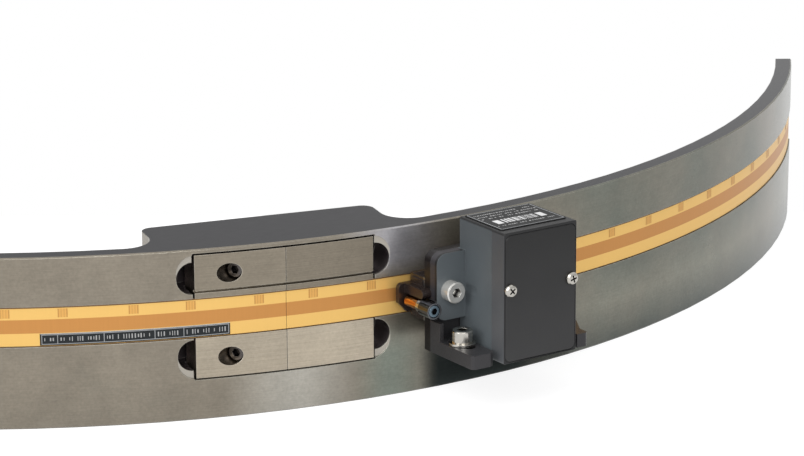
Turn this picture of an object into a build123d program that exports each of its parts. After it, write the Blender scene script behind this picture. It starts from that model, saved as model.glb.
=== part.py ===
from build123d import *
import math
import os

# Modular angle encoder: a graduated steel drum and a scanning head that reads it.
# Millimetres. +Z is the drum's axis and the origin is on it, at the drum's lower face.
# The head stands on the -Y side. In its own directions X is along the drum's
# circumference, "out" is the distance from the axis towards -Y, and Z is height.

# Drum
drum_radius = 287.0
drum_wall = 6.0
drum_height = 56.6
edge_chamfer = 0.4

# Tape: slot, steel band, name strip
tape_width = 13.0
tape_thickness = 0.3
tape_centre_z = 33.8
slot_depth = 0.92
slot_play = 0.06
tape_bed_gap = 0.12
adhesive = 0.02
butt_gap = 0.2
strip_length = 60.5
strip_width = 3.9
strip_thickness = 0.1
strip_from_split = 18.7
strip_margin = 0.3

# Tension cleat and the pocket it lies in
cleat_angle = -13.5
cleat_half_length = 30.0
cleat_bottom = 13.875
land_above_cleat = 1.975
cleat_depth = 12.0
split_gap = 0.15
pocket_end_gap = 0.6
pocket_side_gap = 0.55
pocket_floor_gap = 0.2
slit_width = 0.75
slit_depth = 1.6
slit_above_tape = 1.9
floor_relief = 0.2

# Round reliefs in the pocket's four corners
relief_radius = 6.4
relief_depth = 2.4
relief_overhang = 5.9
relief_edge = 6.225
well_radius = 5.2
well_depth = 16.0
well_edge = 7.625
well_inset = 0.1

# Thick block inside the drum that carries the cleat
boss_half_width = 39.4
boss_depth = 30.8
boss_root_radius = 9.5
boss_corner_radius = 4.0

# Slanted tension screws in the left half of the cleat
tension_tilt = 45.0
tension_from_split = 19.4
tension_bore_radius = 3.1
tension_seat_depth = 8.0
tension_hole_radius = 1.95
tension_thread_length = 18.0
tension_seat_gap = 0.35
screw_edge = 6.525
m3_radius = 1.5
m3_head_radius = 2.75
m3_head_height = 3.0
m3_socket = 2.5

# Screws and dowels that hold the right half
fixing_from_end = 14.0
fixing_bite = 8.5
fixing_recess = 4.6
dowel_radius = 1.5
dowel_length = 10.0
dowel_short = 0.2
dowel_from_end = 5.5
dowel_edge = 7.375

# Common screw sizes and fits
m4_radius = 2.0
m4_hole_radius = 2.25
m4_head_radius = 3.5
m4_head_height = 4.0
m4_socket = 3.0
m4_recess_radius = 3.9
m2_radius = 1.0
m2_head_radius = 1.9
m2_head_height = 1.3
m2_hole_play = 0.1
m25_radius = 1.25
m25_head_radius = 2.45
m25_head_height = 1.5
m25_hole_play = 0.2
tapped_play = 0.05
thread_runout = 0.5
head_bevel = 0.1
tip_bevel = 0.2
socket_depth = 0.55
pan_crown = 0.45
cross_span = 1.1
cross_width = 0.24
cross_level = 1.05

# How far a cut runs past the face that it opens, and how near two values count as one
beyond = 1.0
near_enough = 0.01

# Scanning head housing
head_half_width = 14.25
head_bottom = 17.6
head_height = 43.3
head_stand_off = 12.0
head_depth = 25.3
head_wall = 2.2
rim_depth = 6.8
rim_step = 0.25
top_radius = 0.6
rear_chamfer = 0.5
rear_port_half_width = 8.0
rear_port_above_window = 1.6
rear_port_below_window = 0.8

# Ears that carry the head, and the foot screws below them
washer_from_head = 1.25
ear_screw_inset = 5.0
ear_thickness = 3.5
ear_above_base = 10.6
ear_height = 22.3
ear_corner = 3.5
ear_screw_height = 9.8
ear_screw_short = 0.4
ear_scallop_radius = 6.2
ear_scallop_length = 6.5

# Front cover, gasket and cover screws
cover_thickness = 2.0
cover_proud = 0.2
cover_side_margin = 0.55
cover_top_margin = 0.9
cover_corner = 2.0
cover_edge = 0.25
cover_seat_play = 0.1
cover_screw_inset = 2.25
cover_screw_height = 24.4
cover_screw_bite = 6.0
cover_thread_depth = 8.0
gasket_thickness = 0.5
gasket_lip = 0.2
pillar_radius = 2.4

# Plate on top of the head
plate_side_margin = 1.45
plate_rear_margin = 1.3
plate_front_margin = 3.6
plate_thickness = 0.3
plate_corner = 0.6

# Cable inlet on the head's right side
inlet_from_rear = 9.8
inlet_below_top = 12.4
inlet_thread_radius = 3.6
inlet_bore_radius = 2.3
inlet_hex = 8.0
inlet_hex_length = 3.0
inlet_nose_radius = 3.4
inlet_nose_length = 4.6
inlet_nose_chamfer = 0.7
inlet_ring_radius = 4.3
inlet_ring_thickness = 0.6

# Circuit board inside the head
board_from_rear = 12.6
board_thickness = 1.6
board_side_gap = 1.05
board_end_gap = 1.0
board_notch = 0.4
board_thread_depth = 5.0
board_screw_bite = 4.0
post_inset_x = 3.4
post_inset_z = 3.8
post_radius = 2.0

# Chips on the board: across, up from the board's foot, width, height, thickness
processor = (0.0, 12.7, 9.0, 7.0, 1.6)
memory_chip = (7.5, 9.7, 3.0, 4.0, 1.2)

# Chips near the board's top: across, down from it, width, height, thickness
line_driver = (-7.0, 9.7, 3.0, 4.0, 1.2)
isolator = (3.0, 10.0, 9.0, 5.5, 2.4)

# Capacitor, and the connector behind the board
capacitor_radius = 2.2
capacitor_height = 4.0
capacitor_x = -7.2
capacitor_up = 11.2
connector_depth = 4.0
connector_half_width = 6.0
connector_height = 3.0
connector_from_top = 9.2

# Bracket
bracket_plate = 3.5
foot_below_head = 0.3
foot_thickness = 4.5
foot_width = 8.9
foot_length = 27.0
foot_corner = 1.2
foot_inner_corner = 2.6
slot_half_length = 6.0
left_slot_from_rear = 14.0
right_slot_from_rear = 9.5
right_foot_front_width = 4.4
right_foot_taper_start = 1.0
right_foot_taper_end = 7.0
right_foot_corner = 1.4
gusset_width = 1.5
gusset_reach = 5.1
gusset_height = 6.05
window_half_width = 11.6
window_margin = 1.0
lead_room = 5.0

# Adjusting screw in the bracket's barrel
barrel_from_ear = 2.8
barrel_below_centre = 1.2
barrel_radius = 2.7
barrel_length = 5.7
barrel_ahead = 4.0
web_thickness = 0.6
web_half_height = 2.2
web_bite = 1.5
adjuster_head_radius = 2.1
adjuster_head_height = 2.0
adjuster_head_play = 0.1
adjuster_seat_gap = 0.3
adjuster_socket = 2.0
adjuster_collar_radius = 2.1
adjuster_collar_thickness = 2.0
collar_clear = 0.3
adjuster_tip_radius = 1.75
adjuster_tip_crown = 1.1
adjuster_tip_gap = 0.3

# Washers under the foot screws
washer_radius = 4.5
washer_thickness = 0.8
washer_play = 0.15
washer_gap = 0.1
foot_screw_short = 0.1

# Scanning unit between the bracket and the tape
scan_gap = 0.3
scan_above_tape = 0.3
scan_height = 14.4
glass_thickness = 1.6
glass_side_margin = 0.1
glass_edge = 0.15
shim_thickness = 0.8
optics_half_width = 11.8
optics_height = 11.4
flange_past_ear = 5.6
flange_thickness = 1.7
flange_below = 5.3
flange_above = 4.3
flange_chamfer = 3.2
flange_corner = 1.6
lug_past_ear = 3.3
lug_height = 3.1
lug_past_plate = 0.3
lug_corner = 1.4
root_bite = 0.5
root_inset = 1.0
frame_screw_inset = 8.0
frame_screw_below = 2.9
frame_screw_bite = 3.0
frame_thread_depth = 4.0
frame_recess_play = 0.2
frame_seat_gap = 0.1
sensor_board_thickness = 1.2
lens_radius = 4.1
lens_edge = 0.8
lens_crown = 1.5
led_radius = 2.6
led_length = 3.2
led_bevel = 0.7
led_flange = 0.5
led_flange_radius = 3.5
led_tip_clear = 0.1
detector_x = 8.0
detector_width = 3.4
detector_height = 3.3
detector_gap = 0.6
detector_thickness = 0.7
flex_half_width = 5.0
flex_thickness = 0.3
flex_margin = 0.5

# Worked out: tape, cleat and boss
slot_floor = drum_radius - slot_depth
tape_inner = slot_floor + tape_bed_gap
tape_outer = tape_inner + tape_thickness
tape_bottom = tape_centre_z - tape_width / 2
tape_top = tape_centre_z + tape_width / 2
cleat_height = drum_height - land_above_cleat - cleat_bottom
cleat_centre_z = cleat_bottom + cleat_height / 2
cleat_back = drum_radius - cleat_depth
pocket_half_length = cleat_half_length + pocket_end_gap
pocket_floor = cleat_back - pocket_floor_gap
boss_flat_radius = drum_radius - boss_depth
relief_offset_z = cleat_height / 2 - relief_edge
well_offset_z = cleat_height / 2 - well_edge
screw_offset_z = cleat_height / 2 - screw_edge
dowel_offset_z = cleat_height / 2 - dowel_edge
fixing_offset = cleat_half_length - fixing_from_end
dowel_offset = cleat_half_length - dowel_from_end

# Worked out: distances of the head's faces from the drum's axis
head_rear = drum_radius + head_stand_off
head_front = head_rear + head_depth
plate_rear = head_rear - bracket_plate
shim_rear = plate_rear - shim_thickness
glass_rear = drum_radius + scan_gap
glass_front = glass_rear + glass_thickness
sensor_board_near = shim_rear - sensor_board_thickness
cover_face = head_front + cover_proud
head_shut = cover_face - cover_thickness
gasket_near = head_shut - gasket_thickness
ear_front = head_rear + ear_thickness
board_near = head_rear + board_from_rear
board_face = board_near + board_thickness
inlet_out = head_rear + inlet_from_rear
foot_front = plate_rear + foot_length
left_slot_out = plate_rear + left_slot_from_rear
right_slot_out = plate_rear + right_slot_from_rear
barrel_rear = plate_rear + barrel_ahead
barrel_front = barrel_rear + barrel_length
collar_front = barrel_rear - collar_clear
collar_rear = collar_front - adjuster_collar_thickness

# Worked out: heights on the head
head_top = head_bottom + head_height
inner_bottom = head_bottom + head_wall
inner_top = head_top - head_wall
foot_bottom = head_bottom - foot_below_head
foot_top = foot_bottom + foot_thickness
ear_bottom = head_bottom + ear_above_base
ear_top = ear_bottom + ear_height
ear_screw_z = ear_bottom + ear_screw_height
cover_screw_z = head_bottom + cover_screw_height
inlet_z = head_top - inlet_below_top
board_bottom = inner_bottom + board_end_gap
board_top = inner_top - board_end_gap
post_heights = (board_bottom + post_inset_z, board_top - post_inset_z)
connector_bottom = board_top - connector_from_top - connector_height
scan_centre_z = tape_centre_z + scan_above_tape
scan_bottom = scan_centre_z - scan_height / 2
scan_top = scan_centre_z + scan_height / 2
optics_bottom = scan_centre_z - optics_height / 2
optics_top = scan_centre_z + optics_height / 2
window_bottom = optics_bottom - window_margin
window_top = optics_top + lead_room
flange_bottom = scan_centre_z - flange_below
flange_top = scan_centre_z + flange_above
frame_screw_z = scan_centre_z - frame_screw_below
barrel_z = scan_centre_z - barrel_below_centre

# Worked out: places across the head
inner_half_width = head_half_width - head_wall
ear_screw_x = head_half_width + washer_from_head + washer_radius
ear_reach = ear_screw_x + ear_screw_inset
cover_screw_x = head_half_width - cover_screw_inset
board_half_width = inner_half_width - board_side_gap
post_x = board_half_width - post_inset_x
foot_inner = ear_reach - foot_width
frame_screw_x = ear_reach - frame_screw_inset
flange_reach = ear_reach + flange_past_ear
barrel_x = -(ear_reach + barrel_from_ear)


def block(x0, x1, out0, out1, z0, z1):
    size = Box(x1 - x0, out1 - out0, z1 - z0)
    return Pos((x0 + x1) / 2, -(out0 + out1) / 2, (z0 + z1) / 2) * size


def rod(radius, x, z, out0, out1):
    """A round bar that points away from the drum's axis."""
    return Pos(x, -(out0 + out1) / 2, z) * Rot(90, 0, 0) * Cylinder(radius, out1 - out0)


def tube(outer, inner, height):
    wall = Circle(outer) - Circle(inner)
    return extrude(wall, height)


def cap_screw(radius, head_radius, head_height, socket, length):
    """Socket screw along +Z: head above the origin, shank below it."""
    head = Pos(0, 0, head_height / 2) * Cylinder(head_radius, head_height)
    rim = head.edges().filter_by(GeomType.CIRCLE).sort_by(Axis.Z)[-1]
    head = chamfer(rim, head_radius * head_bevel)
    shank = Pos(0, 0, -length / 2) * Cylinder(radius, length)
    tip = shank.edges().filter_by(GeomType.CIRCLE).sort_by(Axis.Z)[0]
    shank = chamfer(tip, radius * tip_bevel)
    deep = head_height * socket_depth
    hexagon = extrude(RegularPolygon(socket / math.sqrt(3), 6), deep + beyond)
    return head + shank - Pos(0, 0, head_height - deep) * hexagon


def domed_disc(radius, edge, crown):
    """Disc standing on z = 0, its top a part of a ball."""
    ball_radius = (radius ** 2 + crown ** 2) / (2 * crown)
    ball = Pos(0, 0, edge + crown - ball_radius) * Sphere(ball_radius)
    dome = ball & Pos(0, 0, edge + crown / 2) * Cylinder(radius, crown)
    return Pos(0, 0, edge / 2) * Cylinder(radius, edge) + dome


def pan_screw(radius, head_radius, head_height, length):
    """Cross-recess screw along +Z: domed head above the origin, shank below it."""
    crown = head_height * pan_crown
    head = domed_disc(head_radius, head_height - crown, crown)
    slit = Box(head_radius * cross_span, head_radius * cross_width, head_height)
    cross = Pos(0, 0, head_height * cross_level) * (slit + Rot(0, 0, 90) * slit)
    shank = Pos(0, 0, -length / 2) * Cylinder(radius, length)
    return head + shank - cross


def plain_screw(radius, head_radius, head_height, length):
    """Hidden screw along +Z: a flat head above the origin, shank below it."""
    head = Pos(0, 0, head_height / 2) * Cylinder(head_radius, head_height)
    return head + Pos(0, 0, -length / 2) * Cylinder(radius, length)


def pointing_out(piece, x, z, out):
    """Turns a piece made along +Z so that its head looks away from the drum."""
    return Pos(x, -out, z) * Rot(90, 0, 0) * piece


def at_cleat(piece):
    return Rot(0, 0, cleat_angle) * piece


def drum_outline():
    cavity = Circle(drum_radius - drum_wall)
    boss = Pos(0, -(boss_flat_radius + boss_depth / 2)) * Rectangle(2 * boss_half_width, boss_depth)
    cavity -= boss
    near = [v for v in cavity.vertices() if v.Y < 0 and abs(abs(v.X) - boss_half_width) < near_enough]
    near.sort(key=lambda v: v.Y)
    cavity = fillet(near[:2], boss_root_radius)
    near = [v for v in cavity.vertices() if abs(v.Y + boss_flat_radius) < near_enough]
    cavity = fillet(near, boss_corner_radius)
    return Circle(drum_radius) - cavity


def corner_reliefs():
    cuts = []
    for side in (-1, 1):
        x = side * (cleat_half_length + relief_overhang - relief_radius)
        well_x = side * (cleat_half_length + relief_overhang - well_radius - well_inset)
        for up in (-1, 1):
            shallow = drum_radius - relief_depth
            z = cleat_centre_z + up * relief_offset_z
            cuts.append(rod(relief_radius, x, z, shallow, drum_radius + beyond))
            z = cleat_centre_z + up * well_offset_z
            cuts.append(rod(well_radius, well_x, z, drum_radius - well_depth, drum_radius + beyond))
    return cuts


def tension_axis(up):
    """Frame at the mouth of a slanted hole, its Z pointing back out of the hole."""
    mouth = Pos(-tension_from_split, -drum_radius, cleat_centre_z + up * screw_offset_z)
    return mouth * Rot(0, 0, -tension_tilt) * Rot(90, 0, 0)


def cylinder_along(frame, radius, deep0, deep1):
    return frame * Pos(0, 0, -(deep0 + deep1) / 2) * Cylinder(radius, deep1 - deep0)


def drum_ring():
    ring = extrude(drum_outline(), drum_height)
    rounds = ring.edges().filter_by(GeomType.CIRCLE)
    ring = chamfer([e for e in rounds if abs(e.radius - drum_radius) < near_enough], edge_chamfer)
    slot = tube(drum_radius + beyond, slot_floor, tape_width + 2 * slot_play)
    ring -= Pos(0, 0, tape_bottom - slot_play) * slot
    pocket_half_height = cleat_height / 2 + pocket_side_gap
    ring -= block(-pocket_half_length, pocket_half_length, pocket_floor, drum_radius + beyond,
                  cleat_centre_z - pocket_half_height, cleat_centre_z + pocket_half_height)
    for cut in corner_reliefs():
        ring -= cut
    thread_end = tension_seat_depth + tension_thread_length + thread_runout
    for up in (-1, 1):
        ring -= cylinder_along(tension_axis(up), m3_radius + tapped_play, tension_seat_depth, thread_end)
        z = cleat_centre_z + up * screw_offset_z
        ring -= rod(m4_hole_radius, fixing_offset, z, boss_flat_radius - beyond, pocket_floor + beyond)
        ring -= rod(m4_recess_radius, fixing_offset, z, boss_flat_radius - beyond,
                    boss_flat_radius + fixing_recess)
        z = cleat_centre_z + up * dowel_offset_z
        ring -= rod(dowel_radius + adhesive, dowel_offset, z, pocket_floor - dowel_length / 2,
                    pocket_floor + beyond)
    return at_cleat(ring)


def scale_tape():
    band = Pos(0, 0, tape_bottom) * tube(tape_outer, tape_inner, tape_width)
    cut = block(-butt_gap / 2, butt_gap / 2, tape_inner - beyond, tape_outer + beyond,
                tape_bottom - beyond, tape_top + beyond)
    return at_cleat(band - cut)


def arc_strip(inner, outer, length, z0, z1):
    """Part of a ring, its middle on the -Y side, as long as asked along its inner face."""
    half = math.degrees(length / 2 / inner)
    band = tube(outer, inner, z1 - z0)
    reach = 2 * outer
    keep = extrude(
        Polygon((0, 0), (-reach * math.tan(math.radians(half)), -reach),
                (reach * math.tan(math.radians(half)), -reach), align=None),
        z1 - z0,
    )
    return Pos(0, 0, z0) * (band & keep)


def name_strip():
    inner = tape_outer + adhesive
    z0 = tape_bottom + strip_margin
    strip = arc_strip(inner, inner + strip_thickness, strip_length, z0, z0 + strip_width)
    back = math.degrees((strip_from_split + strip_length / 2) / inner)
    return at_cleat(Rot(0, 0, -back) * strip)


def cleat_block(x0, x1):
    """Both halves share this form: flush with the drum, with the tape's bed and a slit."""
    body = Pos(0, 0, cleat_centre_z - cleat_height / 2) * extrude(Circle(drum_radius), cleat_height)
    half = block(x0, x1, cleat_back, drum_radius + beyond, cleat_centre_z - cleat_height / 2,
                 cleat_centre_z + cleat_height / 2)
    half = half & body
    bed = tube(drum_radius + beyond, slot_floor - floor_relief, tape_width + 2 * slot_play)
    half -= Pos(0, 0, tape_bottom - slot_play) * bed
    slit = tube(drum_radius + beyond, drum_radius - slit_depth, slit_width)
    return half - Pos(0, 0, tape_top + slit_above_tape) * slit


def cleat_left_half():
    half = cleat_block(-cleat_half_length, -split_gap / 2)
    for up in (-1, 1):
        frame = tension_axis(up)
        half -= cylinder_along(frame, tension_bore_radius, -tension_seat_depth, tension_seat_depth)
        half -= cylinder_along(frame, tension_hole_radius, tension_seat_depth - beyond, 2 * cleat_depth)
    return at_cleat(half)


def cleat_right_half():
    half = cleat_block(split_gap / 2, cleat_half_length)
    for up in (-1, 1):
        z = cleat_centre_z + up * screw_offset_z
        half -= rod(m4_radius + tapped_play, fixing_offset, z, cleat_back - beyond,
                    cleat_back + fixing_bite + thread_runout)
        z = cleat_centre_z + up * dowel_offset_z
        half -= rod(dowel_radius + adhesive, dowel_offset, z, cleat_back - beyond,
                    cleat_back + dowel_length / 2 + dowel_short)
    return at_cleat(half)


def tension_screw(up):
    screw = cap_screw(m3_radius, m3_head_radius, m3_head_height, m3_socket, tension_thread_length)
    seat = Pos(0, 0, -tension_seat_depth + tension_seat_gap)
    return at_cleat(tension_axis(up) * seat * screw)


def cleat_fixing_screws():
    """Two screws put in from inside the drum; their heads look towards the axis."""
    seat = boss_flat_radius + fixing_recess
    length = cleat_back + fixing_bite - seat
    screw = cap_screw(m4_radius, m4_head_radius, m4_head_height, m4_socket, length)
    screws = []
    for up in (-1, 1):
        z = cleat_centre_z + up * screw_offset_z
        screws.append(at_cleat(Pos(fixing_offset, -seat, z) * Rot(-90, 0, 0) * screw))
    return screws


def cleat_dowels():
    pins = []
    for up in (-1, 1):
        z = cleat_centre_z + up * dowel_offset_z
        middle = (pocket_floor + cleat_back) / 2
        half = dowel_length / 2 - dowel_short
        pins.append(at_cleat(rod(dowel_radius, dowel_offset, z, middle - half, middle + half)))
    return pins


def ear(side):
    inner = inner_half_width
    outline = Pos((ear_reach + inner) / 2, (ear_bottom + ear_top) / 2) * Rectangle(
        ear_reach - inner, ear_top - ear_bottom)
    corners = outline.vertices().sort_by(Axis.X)[-2:]
    outline = fillet(corners, ear_corner)
    plate = Pos(0, -head_rear, 0) * Rot(90, 0, 0) * extrude(outline, ear_thickness)
    plate = plate - rod(m4_hole_radius, ear_screw_x, ear_screw_z, head_rear - beyond, ear_front + beyond)
    return plate if side > 0 else mirror(plate, Plane.YZ)


def head_section(half, out0, out1):
    """A length of the housing's outer form, its long edges rounded."""
    height = head_top - head_bottom
    outline = Pos(0, (head_top + head_bottom) / 2) * RectangleRounded(2 * half, height, top_radius)
    return Pos(0, -out0, 0) * Rot(90, 0, 0) * extrude(outline, out1 - out0)


def head_shell():
    rim_start = head_front - rim_depth
    rim = head_section(head_half_width, rim_start, head_front)
    front = rim.faces().sort_by(Axis.Y)[0]
    rim = chamfer(front.edges(), rim_step)
    body = head_section(head_half_width - rim_step, head_rear, rim_start)
    rear = body.faces().sort_by(Axis.Y)[-1]
    body = chamfer(rear.edges(), rear_chamfer)
    return rim + body


def head_cavity():
    """The hollow inside the housing, with the screw pillars and board posts left standing."""
    cavity = block(-inner_half_width, inner_half_width, head_rear + head_wall, head_front + beyond,
                   inner_bottom, inner_top)
    for side in (-1, 1):
        cavity -= rod(pillar_radius, side * cover_screw_x, cover_screw_z, head_rear, head_front + beyond)
        for z in post_heights:
            cavity -= rod(post_radius, side * post_x, z, head_rear, board_near)
    return cavity


def head_housing():
    shell = head_shell() - head_cavity()
    shell -= cover_outline(cover_seat_play, gasket_near, head_front + beyond)
    for side in (-1, 1):
        shell -= rod(m25_radius, side * cover_screw_x, cover_screw_z, gasket_near - cover_thread_depth,
                     head_front)
        shell -= rod(ear_scallop_radius, side * ear_screw_x, ear_screw_z, ear_front,
                     ear_front + ear_scallop_length)
        shell += ear(side)
        for z in post_heights:
            shell -= rod(m2_radius, side * post_x, z, board_near - board_thread_depth, board_near + beyond)
    shell -= block(-rear_port_half_width, rear_port_half_width, head_rear - beyond,
                   head_rear + head_wall + beyond, window_bottom + rear_port_above_window,
                   window_top - rear_port_below_window)
    port = Pos(head_half_width, -inlet_out, inlet_z) * Rot(0, 90, 0)
    shell -= port * Cylinder(inlet_thread_radius, 3 * head_wall)
    return shell


def cover_outline(grow, out0, out1):
    """The cover's plate, grown by a margin to cut its seat."""
    half = head_half_width - cover_side_margin + grow
    z0 = head_bottom + cover_side_margin - grow
    z1 = head_top - cover_top_margin + grow
    outline = Pos(0, (z0 + z1) / 2) * RectangleRounded(2 * half, z1 - z0, cover_corner + grow)
    return Pos(0, -out0, 0) * Rot(90, 0, 0) * extrude(outline, out1 - out0)


def front_cover():
    plate = cover_outline(0, head_shut, cover_face)
    front = plate.faces().sort_by(Axis.Y)[0]
    plate = chamfer(front.edges(), cover_edge)
    for side in (-1, 1):
        plate -= rod(m25_radius + m25_hole_play, side * cover_screw_x, cover_screw_z, head_shut - beyond,
                     cover_face + beyond)
    return plate


def cover_gasket():
    """Flat ring under the cover, with a pad round each cover screw."""
    half = inner_half_width + gasket_lip
    hollow = block(-half, half, gasket_near - beyond, head_shut + beyond,
                   inner_bottom + gasket_lip, inner_top - gasket_lip)
    for side in (-1, 1):
        hollow -= rod(pillar_radius, side * cover_screw_x, cover_screw_z, gasket_near - beyond,
                      head_shut + beyond)
    ring = cover_outline(-cover_seat_play, gasket_near, head_shut) - hollow
    for side in (-1, 1):
        ring -= rod(m25_radius + m25_hole_play, side * cover_screw_x, cover_screw_z,
                    gasket_near - beyond, head_shut + beyond)
    return ring


def cover_screws():
    length = cover_face - gasket_near + cover_screw_bite
    screw = pan_screw(m25_radius - tapped_play, m25_head_radius, m25_head_height, length)
    return [pointing_out(screw, side * cover_screw_x, cover_screw_z, cover_face) for side in (-1, 1)]


def ear_screws():
    length = ear_front - plate_rear - ear_screw_short
    screw = cap_screw(m4_radius, m4_head_radius, m4_head_height, m4_socket, length)
    return [pointing_out(screw, side * ear_screw_x, ear_screw_z, ear_front) for side in (-1, 1)]


def top_plate():
    near = head_rear + plate_rear_margin
    far = head_front - plate_front_margin
    outline = RectangleRounded(2 * (head_half_width - plate_side_margin), far - near, plate_corner)
    return Pos(0, -(near + far) / 2, head_top) * extrude(outline, plate_thickness)


def along_inlet(piece, reach):
    """Places a piece made along +Z on the inlet's axis, so far from the head's side."""
    return Pos(head_half_width - rim_step + reach, -inlet_out, inlet_z) * Rot(0, 90, 0) * piece


def cable_inlet():
    start = inlet_ring_thickness
    hexagon = extrude(RegularPolygon(inlet_hex / math.sqrt(3), 6), inlet_hex_length)
    nose = Pos(0, 0, inlet_nose_length / 2) * Cylinder(inlet_nose_radius, inlet_nose_length)
    tip = nose.edges().filter_by(GeomType.CIRCLE).sort_by(Axis.Z)[-1]
    nose = chamfer(tip, inlet_nose_chamfer)
    neck_length = head_wall + start
    neck = Pos(0, 0, -neck_length / 2) * Cylinder(inlet_thread_radius - tapped_play, neck_length)
    body = hexagon + Pos(0, 0, inlet_hex_length) * nose + neck
    body -= Cylinder(inlet_bore_radius, 2 * (inlet_hex_length + inlet_nose_length + beyond))
    return along_inlet(body, start)


def inlet_seal():
    ring = tube(inlet_ring_radius, inlet_thread_radius, inlet_ring_thickness)
    return along_inlet(ring, 0)


def circuit_board():
    board = block(-board_half_width, board_half_width, board_near, board_face, board_bottom, board_top)
    for side in (-1, 1):
        board -= rod(pillar_radius + board_notch, side * cover_screw_x, cover_screw_z,
                     board_near - beyond, board_face + beyond)
        for z in post_heights:
            board -= rod(m2_radius + m2_hole_play, side * post_x, z, board_near - beyond,
                         board_face + beyond)
    return board


def chip(x, z, width, height, thickness):
    return block(x - width / 2, x + width / 2, board_face, board_face + thickness,
                 z - height / 2, z + height / 2)


def board_components():
    """Chips and a capacitor in front of the board, and the lead's connector behind it."""
    pieces = [chip(x, board_bottom + up, *size) for x, up, *size in (processor, memory_chip)]
    pieces += [chip(x, board_top - down, *size) for x, down, *size in (line_driver, isolator)]
    pieces.append(rod(capacitor_radius, capacitor_x, board_bottom + capacitor_up, board_face,
                      board_face + capacitor_height))
    pieces.append(block(-connector_half_width, connector_half_width, board_near - connector_depth,
                        board_near, connector_bottom, connector_bottom + connector_height))
    return pieces


def board_screws():
    screw = plain_screw(m2_radius - tapped_play, m2_head_radius, m2_head_height,
                        board_thickness + board_screw_bite)
    places = [(side * post_x, z) for side in (-1, 1) for z in post_heights]
    return [pointing_out(screw, x, z, board_face) for x, z in places]


def left_foot_outline():
    """A plain arm, both front corners rounded."""
    outline = Pos(-(foot_inner + ear_reach) / 2, -(plate_rear + foot_front) / 2) * Rectangle(
        foot_width, foot_length)
    front = outline.vertices().sort_by(Axis.Y)[:2].sort_by(Axis.X)
    outline = fillet(front[0], foot_corner)
    front = outline.vertices().group_by(Axis.X)[-1].sort_by(Axis.Y)[0]
    return fillet(front, foot_inner_corner)


def right_foot_outline():
    """Its outer edge runs in towards the front, past the end of the slot."""
    slot_end = right_slot_out + slot_half_length
    front_x = foot_inner + right_foot_front_width
    outline = make_face(Polyline(
        (foot_inner, -plate_rear), (foot_inner, -foot_front), (front_x, -foot_front),
        (front_x, -slot_end - right_foot_taper_end), (ear_reach, -slot_end + right_foot_taper_start),
        (ear_reach, -plate_rear), (foot_inner, -plate_rear)))
    rounded = [v for v in outline.vertices() if v.Y < -plate_rear - beyond and v.X > foot_inner + beyond]
    return fillet(rounded, right_foot_corner)


def foot(side):
    outline = left_foot_outline() if side < 0 else right_foot_outline()
    slot_out = left_slot_out if side < 0 else right_slot_out
    slab = Pos(0, 0, foot_bottom) * extrude(outline, foot_thickness)
    hole = SlotOverall(2 * slot_half_length, 2 * m4_hole_radius, rotation=90)
    start = Pos(side * ear_screw_x, -slot_out, foot_bottom - beyond)
    return slab - start * extrude(hole, foot_thickness + 2 * beyond)


def barrel():
    """Short barrel beside the ear, carried by a web let into the plate's left edge."""
    body = rod(barrel_radius, barrel_x, barrel_z, barrel_rear, barrel_front)
    low, high = barrel_z - web_half_height, barrel_z + web_half_height
    outer = -ear_reach - web_thickness
    body += block(outer, -ear_reach, head_rear - web_bite, ear_front, low, high)
    return body + block(outer, -ear_reach + web_bite, head_rear - web_bite, head_rear, low, high)


def adjuster_bore():
    """Screw hole through the barrel, wider in front where the screw's head lies."""
    floor = barrel_front - adjuster_head_height - adjuster_seat_gap
    pocket = rod(adjuster_head_radius + adjuster_head_play, barrel_x, barrel_z, floor,
                 barrel_front + beyond)
    return pocket + rod(m3_radius + tapped_play, barrel_x, barrel_z, barrel_rear - beyond, floor + beyond)


def bracket():
    outline = Pos(0, (foot_bottom + ear_top) / 2) * Rectangle(2 * ear_reach, ear_top - foot_bottom)
    outline = fillet(outline.vertices().sort_by(Axis.Y)[-2:], ear_corner)
    body = Pos(0, -plate_rear, 0) * Rot(90, 0, 0) * extrude(outline, bracket_plate)
    body -= block(-window_half_width, window_half_width, plate_rear - beyond, head_rear + beyond,
                  window_bottom, window_top)
    body += block(-ear_reach, -ear_reach + gusset_width, head_rear, head_rear + gusset_reach,
                  foot_top, foot_top + gusset_height)
    body += barrel()
    for side in (-1, 1):
        body += foot(side)
        body -= rod(m4_radius + tapped_play, side * ear_screw_x, ear_screw_z, plate_rear - beyond,
                    head_rear + beyond)
        body -= rod(m2_radius + m2_hole_play, side * frame_screw_x, frame_screw_z, plate_rear - beyond,
                    head_rear + beyond)
        body -= rod(m2_head_radius + frame_recess_play, side * frame_screw_x, frame_screw_z,
                    head_rear - m2_head_height - 2 * frame_seat_gap, head_rear + beyond)
    return body - adjuster_bore()


def adjuster_screw():
    seat = barrel_front - adjuster_head_height
    length = seat - collar_rear
    screw = cap_screw(m3_radius, adjuster_head_radius, adjuster_head_height, adjuster_socket, length)
    return pointing_out(screw, barrel_x, barrel_z, seat)


def adjuster_collar():
    ring = rod(adjuster_collar_radius, barrel_x, barrel_z, collar_rear, collar_front)
    return ring - rod(m3_radius + adhesive, barrel_x, barrel_z, collar_rear - beyond, collar_front + beyond)


def adjuster_tip():
    """Soft thrust pad with a domed end, on the end of the adjusting screw."""
    end = glass_rear + flange_thickness + adjuster_tip_gap
    pad = domed_disc(adjuster_tip_radius, collar_rear - end - adjuster_tip_crown, adjuster_tip_crown)
    return Pos(barrel_x, -collar_rear, barrel_z) * Rot(-90, 0, 0) * pad


def foot_places():
    return ((-ear_screw_x, left_slot_out), (ear_screw_x, right_slot_out))


def foot_washers():
    base = foot_top + washer_gap
    ring = tube(washer_radius, m4_radius + washer_play, washer_thickness)
    return [Pos(x, -out, base) * ring for x, out in foot_places()]


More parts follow.
